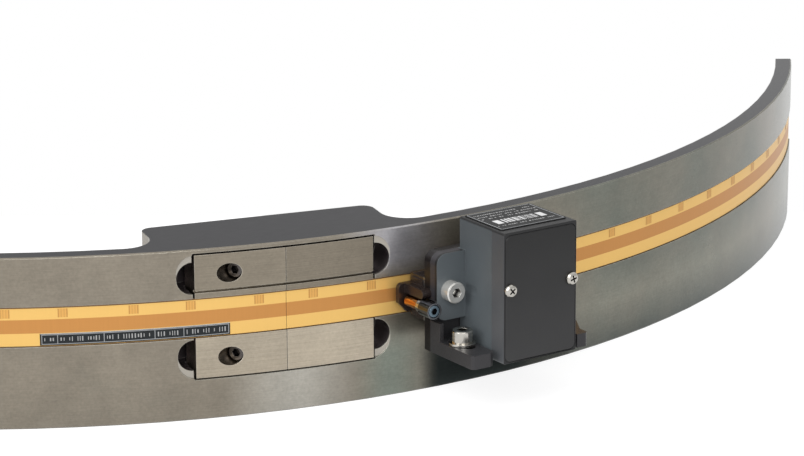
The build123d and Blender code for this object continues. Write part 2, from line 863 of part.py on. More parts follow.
def foot_screws():
    seat = foot_top + washer_gap + washer_thickness
    length = seat - foot_bottom - foot_screw_short
    screw = cap_screw(m4_radius, m4_head_radius, m4_head_height, m4_socket, length)
    return [Pos(x, -out, seat) * screw for x, out in foot_places()]


def frame_flange():
    """Thin flange past the left end, which the adjusting screw's tip works against."""
    outline = Pos(-(ear_reach + flange_reach) / 2, (flange_bottom + flange_top) / 2) * Rectangle(
        flange_past_ear, flange_top - flange_bottom)
    outer = outline.vertices().sort_by(Axis.X)[:2].sort_by(Axis.Y)
    outline = chamfer(outer[0], flange_chamfer)
    outer = outline.vertices().sort_by(Axis.X)[:2].sort_by(Axis.Y)
    outline = fillet(outer[1], flange_corner)
    return Pos(0, -glass_rear, 0) * Rot(90, 0, 0) * extrude(outline, flange_thickness)


def frame_lug():
    """Guide lug that runs out past the bracket's plate, its front corners rounded."""
    lug = block(-ear_reach - lug_past_ear, -ear_reach, glass_rear + flange_thickness - root_bite,
                head_rear + lug_past_plate, flange_top - lug_height, flange_top)
    nose = lug.edges().filter_by(Axis.X).sort_by(Axis.Y)[:2]
    return fillet(nose, lug_corner)


def scanning_frame():
    body = block(-ear_reach, ear_reach, glass_front, shim_rear, scan_bottom, scan_top)
    body -= block(-optics_half_width, optics_half_width, glass_front - beyond, shim_rear + beyond,
                  optics_bottom, optics_top)
    root = block(-ear_reach - root_bite, -ear_reach + root_inset, glass_front, shim_rear,
                 scan_bottom + root_inset, scan_top - root_inset)
    body = body + root + frame_lug() + frame_flange()
    for side in (-1, 1):
        body -= rod(m2_radius, side * frame_screw_x, frame_screw_z, shim_rear - frame_thread_depth,
                    shim_rear + beyond)
    return body


def reticle_glass():
    half = ear_reach - glass_side_margin
    plate = block(-half, half, glass_rear, glass_front, scan_bottom, scan_top)
    return chamfer(plate.edges().filter_by(Axis.X), glass_edge)


def spacer_shim():
    plate = block(-ear_reach, ear_reach, shim_rear, plate_rear, scan_bottom, scan_top)
    plate -= block(-optics_half_width, optics_half_width, shim_rear - beyond, plate_rear + beyond,
                   optics_bottom, optics_top)
    for side in (-1, 1):
        plate -= rod(m2_radius + m2_hole_play, side * frame_screw_x, frame_screw_z, shim_rear - beyond,
                     plate_rear + beyond)
    return plate


def frame_screws():
    seat = head_rear - m2_head_height - frame_seat_gap
    screw = plain_screw(m2_radius - tapped_play, m2_head_radius, m2_head_height,
                        seat - shim_rear + frame_screw_bite)
    return [pointing_out(screw, side * frame_screw_x, frame_screw_z, seat) for side in (-1, 1)]


def sensor_board():
    board = block(-optics_half_width, optics_half_width, sensor_board_near, shim_rear,
                  optics_bottom, optics_top)
    return board - rod(led_radius + led_tip_clear, 0, scan_centre_z, sensor_board_near - beyond,
                       shim_rear + beyond)


def condenser_lens():
    """Flat towards the lamp, domed towards the tape."""
    lens = domed_disc(lens_radius, lens_edge, lens_crown)
    return Pos(0, -sensor_board_near, scan_centre_z) * Rot(-90, 0, 0) * lens


def light_source():
    """Lamp whose flange sits on the board, its bevelled end in the board's hole."""
    base = sensor_board_near + led_tip_clear + led_length
    lamp = Pos(0, 0, led_length / 2) * Cylinder(led_radius, led_length)
    end = lamp.edges().filter_by(GeomType.CIRCLE).sort_by(Axis.Z)[-1]
    lamp = chamfer(end, led_bevel)
    flange_end = base - shim_rear
    flange = Pos(0, 0, flange_end - led_flange / 2) * Cylinder(led_flange_radius, led_flange)
    return Pos(0, -base, scan_centre_z) * Rot(-90, 0, 0) * (lamp + flange)


def photo_detectors():
    cells = []
    for side in (-1, 1):
        for up in (-1, 1):
            near, far = up * detector_gap / 2, up * (detector_gap / 2 + detector_height)
            low, high = sorted((scan_centre_z + near, scan_centre_z + far))
            middle = side * detector_x
            cells.append(block(middle - detector_width / 2, middle + detector_width / 2,
                               sensor_board_near - detector_thickness, sensor_board_near, low, high))
    return cells


def flat_lead():
    """Flexible lead from the sensor board to the connector behind the main board."""
    z = optics_top - flex_margin
    rise = board_near - connector_depth / 2
    across = block(-flex_half_width, flex_half_width, shim_rear, rise, z - flex_thickness, z)
    upright = block(-flex_half_width, flex_half_width, rise - flex_thickness, rise, z - flex_thickness,
                    connector_bottom)
    return across + upright


def group(pieces):
    return Compound(children=list(pieces))


parts = {
    "drum_ring": drum_ring(),
    "scale_tape": scale_tape(),
    "name_strip": name_strip(),
    "cleat_left_half": cleat_left_half(),
    "cleat_right_half": cleat_right_half(),
    "tension_screw_upper": tension_screw(1),
    "tension_screw_lower": tension_screw(-1),
    "cleat_fixing_screws": group(cleat_fixing_screws()),
    "cleat_dowels": group(cleat_dowels()),
    "bracket": bracket(),
    "foot_screws": group(foot_screws()),
    "foot_washers": group(foot_washers()),
    "head_housing": head_housing(),
    "front_cover": front_cover(),
    "cover_gasket": cover_gasket(),
    "cover_screws": group(cover_screws()),
    "ear_screws": group(ear_screws()),
    "top_plate": top_plate(),
    "cable_inlet": cable_inlet(),
    "inlet_seal": inlet_seal(),
    "circuit_board": circuit_board(),
    "board_components": group(board_components()),
    "board_screws": group(board_screws()),
    "scanning_frame": scanning_frame(),
    "reticle_glass": reticle_glass(),
    "spacer_shim": spacer_shim(),
    "frame_screws": group(frame_screws()),
    "sensor_board": sensor_board(),
    "condenser_lens": condenser_lens(),
    "light_source": light_source(),
    "photo_detectors": group(photo_detectors()),
    "flat_lead": flat_lead(),
    "adjuster_screw": adjuster_screw(),
    "adjuster_collar": adjuster_collar(),
    "adjuster_tip": adjuster_tip(),
}

os.makedirs("parts", exist_ok=True)
for name, part in parts.items():
    export_step(part, f"parts/{name}.step")
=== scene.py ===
import bpy
import math
import random
from mathutils import Matrix, Vector


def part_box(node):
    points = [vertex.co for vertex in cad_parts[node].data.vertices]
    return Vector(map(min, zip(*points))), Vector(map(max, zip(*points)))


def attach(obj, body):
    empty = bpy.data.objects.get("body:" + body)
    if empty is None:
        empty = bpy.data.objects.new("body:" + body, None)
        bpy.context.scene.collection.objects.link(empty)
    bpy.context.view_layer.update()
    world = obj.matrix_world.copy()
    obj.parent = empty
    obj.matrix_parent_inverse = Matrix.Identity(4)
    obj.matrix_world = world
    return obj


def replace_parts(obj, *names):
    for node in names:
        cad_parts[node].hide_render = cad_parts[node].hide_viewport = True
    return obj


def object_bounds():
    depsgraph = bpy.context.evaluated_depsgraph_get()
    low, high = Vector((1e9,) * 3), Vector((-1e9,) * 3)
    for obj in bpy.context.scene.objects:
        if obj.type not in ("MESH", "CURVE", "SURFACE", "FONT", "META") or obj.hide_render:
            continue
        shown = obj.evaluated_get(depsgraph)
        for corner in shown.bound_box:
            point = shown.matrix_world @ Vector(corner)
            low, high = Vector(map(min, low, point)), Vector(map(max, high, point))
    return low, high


# Angle encoder: finishes, printed marks, light and camera. Metres, with the drum's axis
# at the origin, its lower face at z = 0 and the scanning head on the -Y side.
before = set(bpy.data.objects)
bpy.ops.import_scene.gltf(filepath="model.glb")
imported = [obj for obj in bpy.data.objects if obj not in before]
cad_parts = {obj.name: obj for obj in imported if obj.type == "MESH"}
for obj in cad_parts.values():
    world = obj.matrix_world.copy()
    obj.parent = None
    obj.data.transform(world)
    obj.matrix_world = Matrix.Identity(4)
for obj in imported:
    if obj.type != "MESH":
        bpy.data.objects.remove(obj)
solid_low, solid_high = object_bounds()


def widest(node):
    """How far a node's corners reach from the drum's axis."""
    return max(math.hypot(v.co.x, v.co.y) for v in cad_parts[node].data.vertices)


mm = 0.001
tape_low, tape_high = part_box("scale_tape")
plate_low, plate_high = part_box("top_plate")
strip_low, strip_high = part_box("name_strip")
housing_low, housing_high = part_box("head_housing")
cover_low, cover_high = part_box("front_cover")

# How softly one finish gives way to the next
edge_soft = 0.02 * mm
split_soft = 0.1 * mm
finish_soft = 0.2 * mm

# Where the head's finish changes, from the drum's axis outwards, across the head or up it.
# A pair says where the change starts and where it is complete.
head_rear = -housing_high.y
head_front = -housing_low.y
rim_start = head_front - 6.8 * mm
ear_front = head_rear + 3.5 * mm
# The seam on each ear's side is a painted shadow line, where the gap to the bracket would be in shade.
ear_seam = 1.3 * mm
seam_rear = (ear_front - ear_seam, ear_front - 0.9 * ear_seam)
seam_front = (ear_front - 0.12 * mm, ear_front - 0.06 * mm)
ear_across = (cover_high.x + 0.9 * mm, cover_high.x + 1.0 * mm)
black_top = (housing_high.z - 0.9 * mm, housing_high.z - 0.4 * mm)
black_front = (head_front - 0.3 * mm, head_front - 0.1 * mm)
behind_ears = (head_rear - 0.4 * mm, head_rear - 0.2 * mm)
barrel_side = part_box("adjuster_collar")[0].x + 4.4 * mm

# Tape: its three tracks and the reference marks on the upper one, with angles in degrees
tape_radius = widest("scale_tape")
strip_radius = widest("name_strip")
track_proud = 0.02 * mm
lower_track_top = 31.66 * mm
upper_track_bottom = 36.16 * mm
tape_edge = 0.2 * mm
tape_shadow = 0.42 * mm
butt_angle = -13.5
butt_half_angle = 0.012
mark_bottom = upper_track_bottom + 0.6 * mm
mark_top = tape_high.z - 0.7 * mm
mark_width = 3.1 * mm
mark_line_width = 0.34 * mm
mark_inner_width = 0.14 * mm
mark_inner_share = 0.3
pair_start = -31.5
pair_pitch = 8.1
pair_second = 3.64
pair_last = -11.0
even_start = -7.6
even_pitch = 4.035
even_last = 326.0
arc_step = 0.75

# Name strip on the lower track: its edges, its dividers as shares of its length, and its bars
strip_start_angle = -29.3
strip_end_angle = -17.25
strip_border = 0.22 * mm
strip_inset = 0.32 * mm
strip_rim = 0.16 * mm
strip_dividers = (0.085, 0.33, 0.60, 0.755)
strip_margins = (0.9 * mm, 1.2 * mm)
strip_bar_height = 1.5 * mm
strip_height_shares = (0.7, 1.0, 1.0)
strip_bar_widths = (0.25, 0.25, 0.4)
strip_bar_gaps = (0.45, 0.6, 0.6, 1.5)
strip_seed = 7

# The head's top plate and its print, with widths and gaps in millimetres
plate_thin = 0.27 * mm
plate_corner = 0.6 * mm
corner_step = 15
print_proud = 0.3 * mm
plate_border = 0.28 * mm
plate_border_inset = 0.45 * mm
bars_half_width = 9.5 * mm
bars_near = 310.7 * mm
bars_far = 314.8 * mm
bars_margins = (0.9 * mm, 1.2 * mm)
bar_widths = (0.22, 0.22, 0.45, 0.7)
bar_gaps = (0.25, 0.3, 0.55)
end_block = 2.3 * mm
dash_height = 0.7 * mm
dash_rows = [row * mm for row in (303.0, 305.3, 307.6, 316.6)]
dash_margins = (1.1 * mm, 1.6 * mm)
dash_widths = (0.3, 0.45, 0.7)
dash_gaps = (0.3, 0.35, 0.5)
dash_share = 0.85
plate_seed = 11

# The cleat's surroundings in the drum, as distances along its middle line and across from it
ledge_out = 284.6 * mm
ledge_play = 0.06 * mm
well_fade = (ledge_out - 0.8 * mm, ledge_out - 0.3 * mm)
pocket_out = 268.0 * mm
relief_reach = 36.05 * mm
pocket_bottom = 13.0 * mm
pocket_top = 55.4 * mm
# Painted highlight on the ledge and painted shade in the wells
ledge_highlight_tone = (0.42, 0.39, 0.34)
well_shade_tone = (0.12, 0.1, 0.103)

# The drum's steel: warm on the left, greener on the right, back to warm from an angle on, and painted
# lighter low on the right as reflection
steel_tone = (0.245, 0.215, 0.17)
steel_green_tone = (0.152, 0.16, 0.134)
steel_low_reflection_tone = (0.238, 0.238, 0.196)
# Painted glints along the drum's edges
steel_edge_glint_tone = (0.5, 0.48, 0.43)
green_from = -30 * mm
green_full = 60 * mm
green_shares = (-0.1, 0.8)
back_from = 70.0
# Upright bands of painted reflection: their height is scaled by this share, so they stretch up the drum
upright_bands = 0.2

# The drum's upper face, darker in painted shade
steel_top_shade_tone = (0.026, 0.0255, 0.029)
top_roughness = 0.07
top_face = (solid_high.z - 9 * mm, solid_high.z - 8 * mm)
upward = (0.8, 0.98)

# Painted highlights and reflections on the drum, as lighter places: each band has its middle and half its
# width in degrees
painted_glint_tone = (0.43, 0.41, 0.36)
painted_glint_band = (-12.9, 5.5)
pale_tone = (0.22, 0.245, 0.205)
pale_band = (-6.3, 3.2)
painted_light_height = (26 * mm, 14 * mm)
behind_tone = (0.42, 0.41, 0.43)
behind_band = (-6.0, 4.5)
behind_height = (tape_high.z, tape_high.z + 6 * mm)

# Painted shade low on the drum: along its lower edge, and a painted shadow and reflection below the head
steel_shade_tone = (0.06, 0.075, 0.073)
shade_from = -20 * mm
shade_full = 5 * mm
shade_height = 15 * mm
shade_right = 0.75
shade_everywhere = 0.1
cloud_range = (0.7, 1.3)
cloud_shade = (0.75, 1.0)
below_head_shadow_tone = (0.05, 0.062, 0.06)
below_head_reach = (-17.5 * mm, 22 * mm)
below_head_soft = 4 * mm
below_head_height = (17 * mm, 12 * mm)
below_head_side = (-200 * mm, -250 * mm)

# The cleat's bars in painted light: how bright the lower and the upper one are, and their right halves
# beside that
bar_tone = (0.3, 0.262, 0.205)
bar_rubbed_tone = (0.62, 0.59, 0.52)
bar_light_gains = (1.36, 0.85)
right_half_light_gains = (1.12, 0.86)

# The head's tones, and how much lighter or darker painted light and shade make some of its places
housing_tone = (0.086, 0.099, 0.107)
housing_worn_tone = (0.14, 0.155, 0.165)
housing_light_gains = (1.65, 1.0)
ear_light_gain = 1.35
ear_side_shade_tone = (0.04, 0.037, 0.042)
rim_tone = (0.062, 0.06, 0.065)
rim_strength = 0.6
seam_and_gap_shadow_tone = (0.012, 0.012, 0.013)
cover_tone = (0.02, 0.02, 0.0205)
cover_worn_tone = (0.07, 0.07, 0.07)
cover_shade_gains = (1.7, 0.45)
bracket_tone = (0.045, 0.044, 0.047)
bracket_worn_tone = (0.1, 0.09, 0.09)
bracket_shade_tone = (0.012, 0.0095, 0.0095)
barrel_tone = (0.12, 0.125, 0.135)
anodised_metallic = 0.25
anodised_grains = 5200.0
# Painted shade in screw recesses
recess_shade_tone = (0.012, 0.011, 0.012)

# Cover screws: the domed head as shares of its radius and height, the cross recess as shares
# of the same, how much its floor is smaller than its mouth, the shank, and each screw's turn
cover_head_radius = 2.2 * mm
cover_dome = ((0.5, 1.0), (0.8, 0.86), (0.97, 0.5), (1.0, 0.3), (1.0, 0.0))
recess_reach = 0.62
recess_half_width = 0.12
recess_depth = 0.75
recess_floor = (0.45, 0.6)
recess_clear = 0.1 * mm
cover_shank_radius = 1.25 * mm
cover_screw_turns = (40.0, 15.0)

# Studio: the sky's strength at the horizon and overhead, and the floor's glow
sky_low = 0.6
sky_high = 0.95
sky_full_from = 0.8
floor_half = 30.0
floor_glow = 0.82
mirrored_glow = 0.7
floor_tone = (0.32, 0.32, 0.325)

# Where the head's shadow starts on the floor, which way its edge runs, and how wide it is
shadow_start = (-10.5 * mm, -300.2 * mm, 0.0)
shadow_heading = 28.0
shadow_width = 55 * mm
shadow_soft = 2 * mm
shadow_fade = 30 * mm

# Camera, fitted to the photograph
camera_place = (-0.6519, -1.2149, 0.3785)
camera_heading = -33.92
camera_pitch = 16.07
camera_roll = -0.28
camera_lens = 162.3
camera_sensor = 36.0
camera_near = 0.1
camera_far = 1.385

# The middle of a noise's range, where most of its values lie
noise_middle = (0.3, 0.7)


def put(tree, kind, sockets=None, **settings):
    """Adds a node, sets its options, and gives each named socket a value or a link."""
    made = tree.nodes.new(kind)
    for name, value in settings.items():
        setattr(made, name, value)
    for name, value in (sockets or {}).items():
        if isinstance(value, bpy.types.NodeSocket):
            tree.links.new(value, made.inputs[name])
        else:
            made.inputs[name].default_value = value
    return made


def group_node(tree, group, sockets=None):
    return put(tree, "ShaderNodeGroup", sockets, node_tree=group)


def math_node(tree, operation, first, second=0.0):
    return put(tree, "ShaderNodeMath", {0: first, 1: second}, operation=operation).outputs[0]


def product(tree, *values):
    """The values multiplied together."""
    result = values[0]
    for value in values[1:]:
        result = math_node(tree, "MULTIPLY", result, value)
    return result


def between(tree, value, low, high, to_low=0.0, to_high=1.0):
    """Takes the range from low to high to another range, and holds it at its ends."""
    made = put(tree, "ShaderNodeMapRange", {"Value": value, "From Min": low, "From Max": high,
                                            "To Min": to_low, "To Max": to_high})
    return made.outputs["Result"]


def over_noise(tree, noise, low, high):
    """Spreads the middle of a noise's range over the two values."""
    return between(tree, noise, *noise_middle, low, high)


def within(tree, value, low, high, soft=edge_soft):
    """1 where the value lies between the two limits."""
    above = between(tree, value, low - soft, low + soft)
    below = between(tree, value, high - soft, high + soft, 1.0, 0.0)
    return product(tree, above, below)


def axes_of(tree, vector):
    """A vector's X, Y and Z."""
    return put(tree, "ShaderNodeSeparateXYZ", {"Vector": vector}).outputs


def dot_product(tree, first, second):
    made = put(tree, "ShaderNodeVectorMath", {0: first, 1: second}, operation="DOT_PRODUCT")
    return made.outputs["Value"]


def own_place(tree):
    """Where a point lies on its own piece, at rest."""
    return put(tree, "ShaderNodeTexCoord").outputs["Object"]


def place_beside_head(tree):
    """Where a point would lie with the head at rest, so that it goes with the head."""
    return put(tree, "ShaderNodeTexCoord", None, object=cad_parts["bracket"]).outputs["Object"]


def outward(tree, place):
    """Distance from the drum's axis towards the head."""
    return math_node(tree, "MULTIPLY", axes_of(tree, place)["Y"], -1.0)


def tinted(tree, color, factor):
    """A colour made lighter or darker by a factor that changes over the surface."""
    return put(tree, "ShaderNodeVectorMath", {0: color, "Scale": factor}, operation="SCALE").outputs[0]


def mixed(tree, mask, first, second):
    """The first colour where the mask is 0, and the second where it is 1."""
    made = put(tree, "ShaderNodeMix", {"Factor": mask}, data_type="RGBA")
    for socket, value in (("A", first), ("B", second)):
        end = next(s for s in made.inputs if s.name == socket and s.type == "RGBA")
        if isinstance(value, bpy.types.NodeSocket):
            tree.links.new(value, end)
        else:
            end.default_value = (*value, 1.0)
    return next(s for s in made.outputs if s.type == "RGBA")


def start_group(name, inputs, outputs, result="NodeSocketFloat"):
    """An empty shader node group: an input with a value is a number, one without is a vector."""
    tree = bpy.data.node_groups.new(name, "ShaderNodeTree")
    for socket, value in inputs.items():
        kind = "NodeSocketVector" if value is None else "NodeSocketFloat"
        made = tree.interface.new_socket(socket, in_out="INPUT", socket_type=kind)
        if value is not None:
            made.default_value = value
    for socket in outputs:
        tree.interface.new_socket(socket, in_out="OUTPUT", socket_type=result)
    return tree, tree.nodes.new("NodeGroupInput").outputs, tree.nodes.new("NodeGroupOutput")


def end_group(tree, ends, results):
    """Links the group's results to its outputs."""
    for socket, value in results.items():
        tree.links.new(value, ends.inputs[socket])
    return tree


def unrolled_drum_group():
    """Unrolls the drum: along its circumference, across its wall, and up its axis."""
    tree, _, ends = start_group("unrolled_drum", {}, ["Unrolled"], "NodeSocketVector")
    place = own_place(tree)
    axes = axes_of(tree, place)
    angle = math_node(tree, "ARCTAN2", axes["X"], outward(tree, place))
    flat = put(tree, "ShaderNodeCombineXYZ", {"X": axes["X"], "Y": axes["Y"]})
    radius = put(tree, "ShaderNodeVectorMath", {0: flat.outputs[0]}, operation="LENGTH").outputs["Value"]
    arc = product(tree, angle, tape_radius)
    out = put(tree, "ShaderNodeCombineXYZ", {"X": arc, "Y": radius, "Z": axes["Z"]})
    return end_group(tree, ends, {"Unrolled": out.outputs[0]})


def mottle_group():
    """Soft patches of lighter and darker metal: a factor round 1."""
    tree, given, ends = start_group(
        "mottled_metal", {"Vector": None, "Patches per metre": 60.0, "Contrast": 0.1}, ["Factor"])
    noise = put(tree, "ShaderNodeTexNoise", {"Vector": given["Vector"], "Scale": given["Patches per metre"],
                                             "Detail": 4.0, "Roughness": 0.62})
    centred = math_node(tree, "SUBTRACT", noise.outputs["Fac"], 0.5)
    swing = put(tree, "ShaderNodeMath", {0: centred, 1: given["Contrast"], 2: 1.0},
                operation="MULTIPLY_ADD")
    return end_group(tree, ends, {"Factor": swing.outputs[0]})


def ground_lines_group():
    """Fine ground lines that run along the first axis of the vector."""
    tree, given, ends = start_group(
        "ground_lines", {"Vector": None, "Lines per metre": 3000.0, "Stretch": 0.02}, ["Lines"])
    axes = axes_of(tree, given["Vector"])
    drawn_out = product(tree, axes["X"], given["Stretch"])
    joined = put(tree, "ShaderNodeCombineXYZ", {"X": drawn_out, "Y": axes["Y"], "Z": axes["Z"]})
    noise = put(tree, "ShaderNodeTexNoise", {"Vector": joined.outputs[0], "Scale": given["Lines per metre"],
                                             "Detail": 2.0, "Roughness": 0.5})
    return end_group(tree, ends, {"Lines": noise.outputs["Fac"]})


def blasted_group():
    """Fine pits of a blasted and anodised or moulded face."""
    tree, given, ends = start_group("blasted_grain", {"Grains per metre": 4000.0}, ["Height", "Shade"])
    place = own_place(tree)
    fine = put(tree, "ShaderNodeTexNoise", {"Vector": place, "Scale": given["Grains per metre"],
                                            "Detail": 2.0})
    broad = put(tree, "ShaderNodeTexNoise", {"Vector": place, "Scale": 55.0, "Detail": 3.0})
    shade = over_noise(tree, broad.outputs["Fac"], 0.9, 1.1)
    return end_group(tree, ends, {"Height": fine.outputs["Fac"], "Shade": shade})


def edge_wear_group():
    """A mask of the outer edges, where the finish is rubbed thin, and where painted glints go."""
    tree, given, ends = start_group("edge_wear_and_glint", {"Width": 0.3 * mm, "Amount": 1.0}, ["Mask"])
    rounded = put(tree, "ShaderNodeBevel", {"Radius": given["Width"]}, samples=6)
    straight = put(tree, "ShaderNodeNewGeometry").outputs["Normal"]
    edge = between(tree, dot_product(tree, rounded.outputs[0], straight), 0.995, 0.86)
    noise = put(tree, "ShaderNodeTexNoise", {"Vector": own_place(tree), "Scale": 700.0, "Detail": 3.0})
    patchy = between(tree, noise.outputs["Fac"], 0.35, 0.65, 0.35, 1.0)
    return end_group(tree, ends, {"Mask": product(tree, edge, patchy, given["Amount"])})


def recess_group():
    """A mask of the piece's own recesses and inner corners, where painted shade goes."""
    tree, given, ends = start_group(
        "shaded_recesses", {"Reach": 1.0 * mm, "Open": 0.8, "Shut": 0.4}, ["Mask"])
    sky = put(tree, "ShaderNodeAmbientOcclusion", {"Distance": given["Reach"]}, samples=8, only_local=True)
    mask = between(tree, sky.outputs["AO"], given["Open"], given["Shut"])
    return end_group(tree, ends, {"Mask": mask})


unrolled_drum = unrolled_drum_group()
mottled_metal = mottle_group()
ground_lines = ground_lines_group()
blasted_grain = blasted_group()
edge_wear_and_glint = edge_wear_group()
shaded_recesses = recess_group()


def patches_on(tree, vector, per_metre, contrast):
    """Soft lighter and darker patches, as a factor round 1."""
    sockets = {"Vector": vector, "Patches per metre": per_metre, "Contrast": contrast}
    return group_node(tree, mottled_metal, sockets).outputs["Factor"]


def lines_on(tree, vector, per_metre, stretch):
    """Fine lines along the vector's first axis."""
    sockets = {"Vector": vector, "Lines per metre": per_metre, "Stretch": stretch}
    return group_node(tree, ground_lines, sockets).outputs["Lines"]


def wear_and_glint_edges(tree, width, amount):
    """A mask of the piece's outer edges, for rubbed wear and for painted glints."""
    return group_node(tree, edge_wear_and_glint, {"Width": width, "Amount": amount}).outputs["Mask"]


def start_material(name, color, metallic, roughness):
    """A new material with its plain values, its nodes and its shader."""
    made = bpy.data.materials.new(name)
    made.use_nodes = True
    tree = made.node_tree
    shader = tree.nodes["Principled BSDF"]
    shader.inputs["Base Color"].default_value = (*color, 1.0)
    shader.inputs["Metallic"].default_value = metallic
    shader.inputs["Roughness"].default_value = roughness
    return made, tree, shader


def link_looks(tree, shader, color, roughness):
    """Gives the shader a colour and a roughness that change over the surface."""
    tree.links.new(color, shader.inputs["Base Color"])
    tree.links.new(roughness, shader.inputs["Roughness"])


def soft_normal(tree, shader, height, depth, edge_radius):
    """Rounds the sharp edges in the shading and presses the height into it."""
    rounded = put(tree, "ShaderNodeBevel", {"Radius": edge_radius}, samples=4)
    bump = put(tree, "ShaderNodeBump", {"Height": height, "Distance": depth, "Strength": 1.0,
                                        "Normal": rounded.outputs[0]})
    tree.links.new(bump.outputs[0], shader.inputs["Normal"])


def facing_up(tree, height):
    """1 on the faces at the drum's very top, 0 on the others."""
    normal = put(tree, "ShaderNodeTexCoord").outputs["Normal"]
    up = axes_of(tree, normal)["Z"]
    return product(tree, between(tree, up, *upward), between(tree, height, *top_face))


def arc_band(tree, arc, middle, half):
    """A soft upright band on the drum: 1 at its middle angle, 0 from half an angle away on."""
    away = math_node(tree, "ABSOLUTE", math_node(tree, "SUBTRACT", arc, math.radians(middle) * tape_radius))
    made = put(tree, "ShaderNodeMapRange", {"Value": away, "From Max": math.radians(half) * tape_radius,
                                            "To Min": 1.0, "To Max": 0.0}, interpolation_type="SMOOTHSTEP")
    return made.outputs["Result"]


def below_head(tree):
    """1 on the drum's low part below the head's feet, wherever the head is: a painted shadow and its dark
    mirror image.
    """
    axes = axes_of(tree, place_beside_head(tree))
    across = within(tree, axes["X"], *below_head_reach, below_head_soft)
    low = between(tree, axes["Z"], *below_head_height)
    near = between(tree, axes["Y"], *below_head_side)
    return product(tree, across, low, near)


def drum_hue(tree, unrolled):
    """The drum's tones: warm to green round it, with painted highlights, reflections and shade, and upright
    bands of painted reflection.
    """
    axes = axes_of(tree, unrolled)
    arc = axes["X"]
    # Upright bands of painted reflection streaks.
    upright = put(tree, "ShaderNodeCombineXYZ", {"X": arc, "Z": product(tree, axes["Z"], upright_bands)})
    bands = patches_on(tree, upright.outputs[0], per_metre=30.0, contrast=0.4)
    clouds = patches_on(tree, unrolled, per_metre=24.0, contrast=2.0)
    round_back = between(tree, arc, math.radians(back_from) * tape_radius, math.pi * tape_radius, 1.0, 0.0)
    right = product(tree, between(tree, arc, green_from, green_full, *green_shares), round_back)
    green = math_node(tree, "ADD", right, math_node(tree, "SUBTRACT", clouds, 1.0))
    below = between(tree, axes["Z"], *painted_light_height)
    # Painted reflection: the low right part of the drum is lighter.
    low_right = product(tree, below, between(tree, arc, green_from, green_full), round_back)
    greener = mixed(tree, low_right, steel_green_tone, steel_low_reflection_tone)
    hue = mixed(tree, between(tree, green, 0.0, 1.0), steel_tone, greener)
    above = between(tree, axes["Z"], *behind_height)
    # Painted highlights and reflections: lighter bands low on the drum, and one above the tape beside the
    # head.
    for band, height, tone in ((painted_glint_band, below, painted_glint_tone), (pale_band, below, pale_tone),
                               (behind_band, above, behind_tone)):
        hue = mixed(tree, product(tree, arc_band(tree, arc, *band), height), hue, tone)
    hue = tinted(tree, hue, bands)
    # Painted shade along the drum's lower edge, stronger right of the head, then the painted shadow and
    # reflection below the head.
    shaded = product(tree, between(tree, arc, shade_from, shade_full, 0.0, shade_right), round_back)
    edge = product(tree, between(tree, axes["Z"], shade_height, 0.0),
                   math_node(tree, "ADD", shaded, shade_everywhere),
                   between(tree, clouds, *cloud_range, *cloud_shade))
    hue = mixed(tree, edge, hue, steel_shade_tone)
    return mixed(tree, below_head(tree), hue, below_head_shadow_tone)


def pocket_tones(tree, height, color):
    """Adds the ledge round the cleat as a painted highlight, and painted shade in the wells at its ends."""
    turn = math.radians(butt_angle)
    place = own_place(tree)
    out = dot_product(tree, place, (math.sin(turn), -math.cos(turn), 0.0))
    across = math_node(tree, "ABSOLUTE", dot_product(tree, place, (math.cos(turn), math.sin(turn), 0.0)))
    at_cleat = product(tree, within(tree, across, 0.0, relief_reach),
                       within(tree, height, pocket_bottom, pocket_top))
    ledge = within(tree, out, ledge_out - ledge_play, ledge_out + ledge_play)
    color = mixed(tree, product(tree, at_cleat, ledge), color, ledge_highlight_tone)
    deep = between(tree, out, *well_fade, 1.0, 0.0)
    inside = within(tree, out, pocket_out, ledge_out)
    return mixed(tree, product(tree, at_cleat, deep, inside), color, well_shade_tone)


def drum_steel():
    """Turned steel: fine lines round the drum, soft patches, painted shade in the wells and on the upper
    face, painted glints on the edges.
    """
    made, tree, shader = start_material("drum_steel", steel_tone, metallic=0.62, roughness=0.25)
    shader.inputs["Anisotropic"].default_value = 0.75
    shader.inputs["Anisotropic Rotation"].default_value = 0.25
    unrolled = group_node(tree, unrolled_drum).outputs["Unrolled"]
    height = axes_of(tree, unrolled)["Z"]
    patches = patches_on(tree, unrolled, per_metre=120.0, contrast=0.35)
    specks = patches_on(tree, unrolled, per_metre=1100.0, contrast=0.4)
    lines = lines_on(tree, unrolled, per_metre=3200.0, stretch=0.06)
    factor = product(tree, patches, specks, over_noise(tree, lines, 0.95, 1.05))
    color = pocket_tones(tree, height, tinted(tree, drum_hue(tree, unrolled), factor))
    # Painted shade on the drum's upper face.
    on_top = facing_up(tree, height)
    color = mixed(tree, on_top, color, tinted(tree, steel_top_shade_tone, patches))
    # Painted glints on the drum's edges, through the edge mask.
    color = mixed(tree, wear_and_glint_edges(tree, width=0.5 * mm, amount=0.7), color, steel_edge_glint_tone)
    rough = over_noise(tree, lines, 0.23, 0.27)
    rough = math_node(tree, "ADD", rough, product(tree, on_top, top_roughness))
    link_looks(tree, shader, color, rough)
    soft_normal(tree, shader, lines, depth=0.001 * mm, edge_radius=0.3 * mm)
    return made


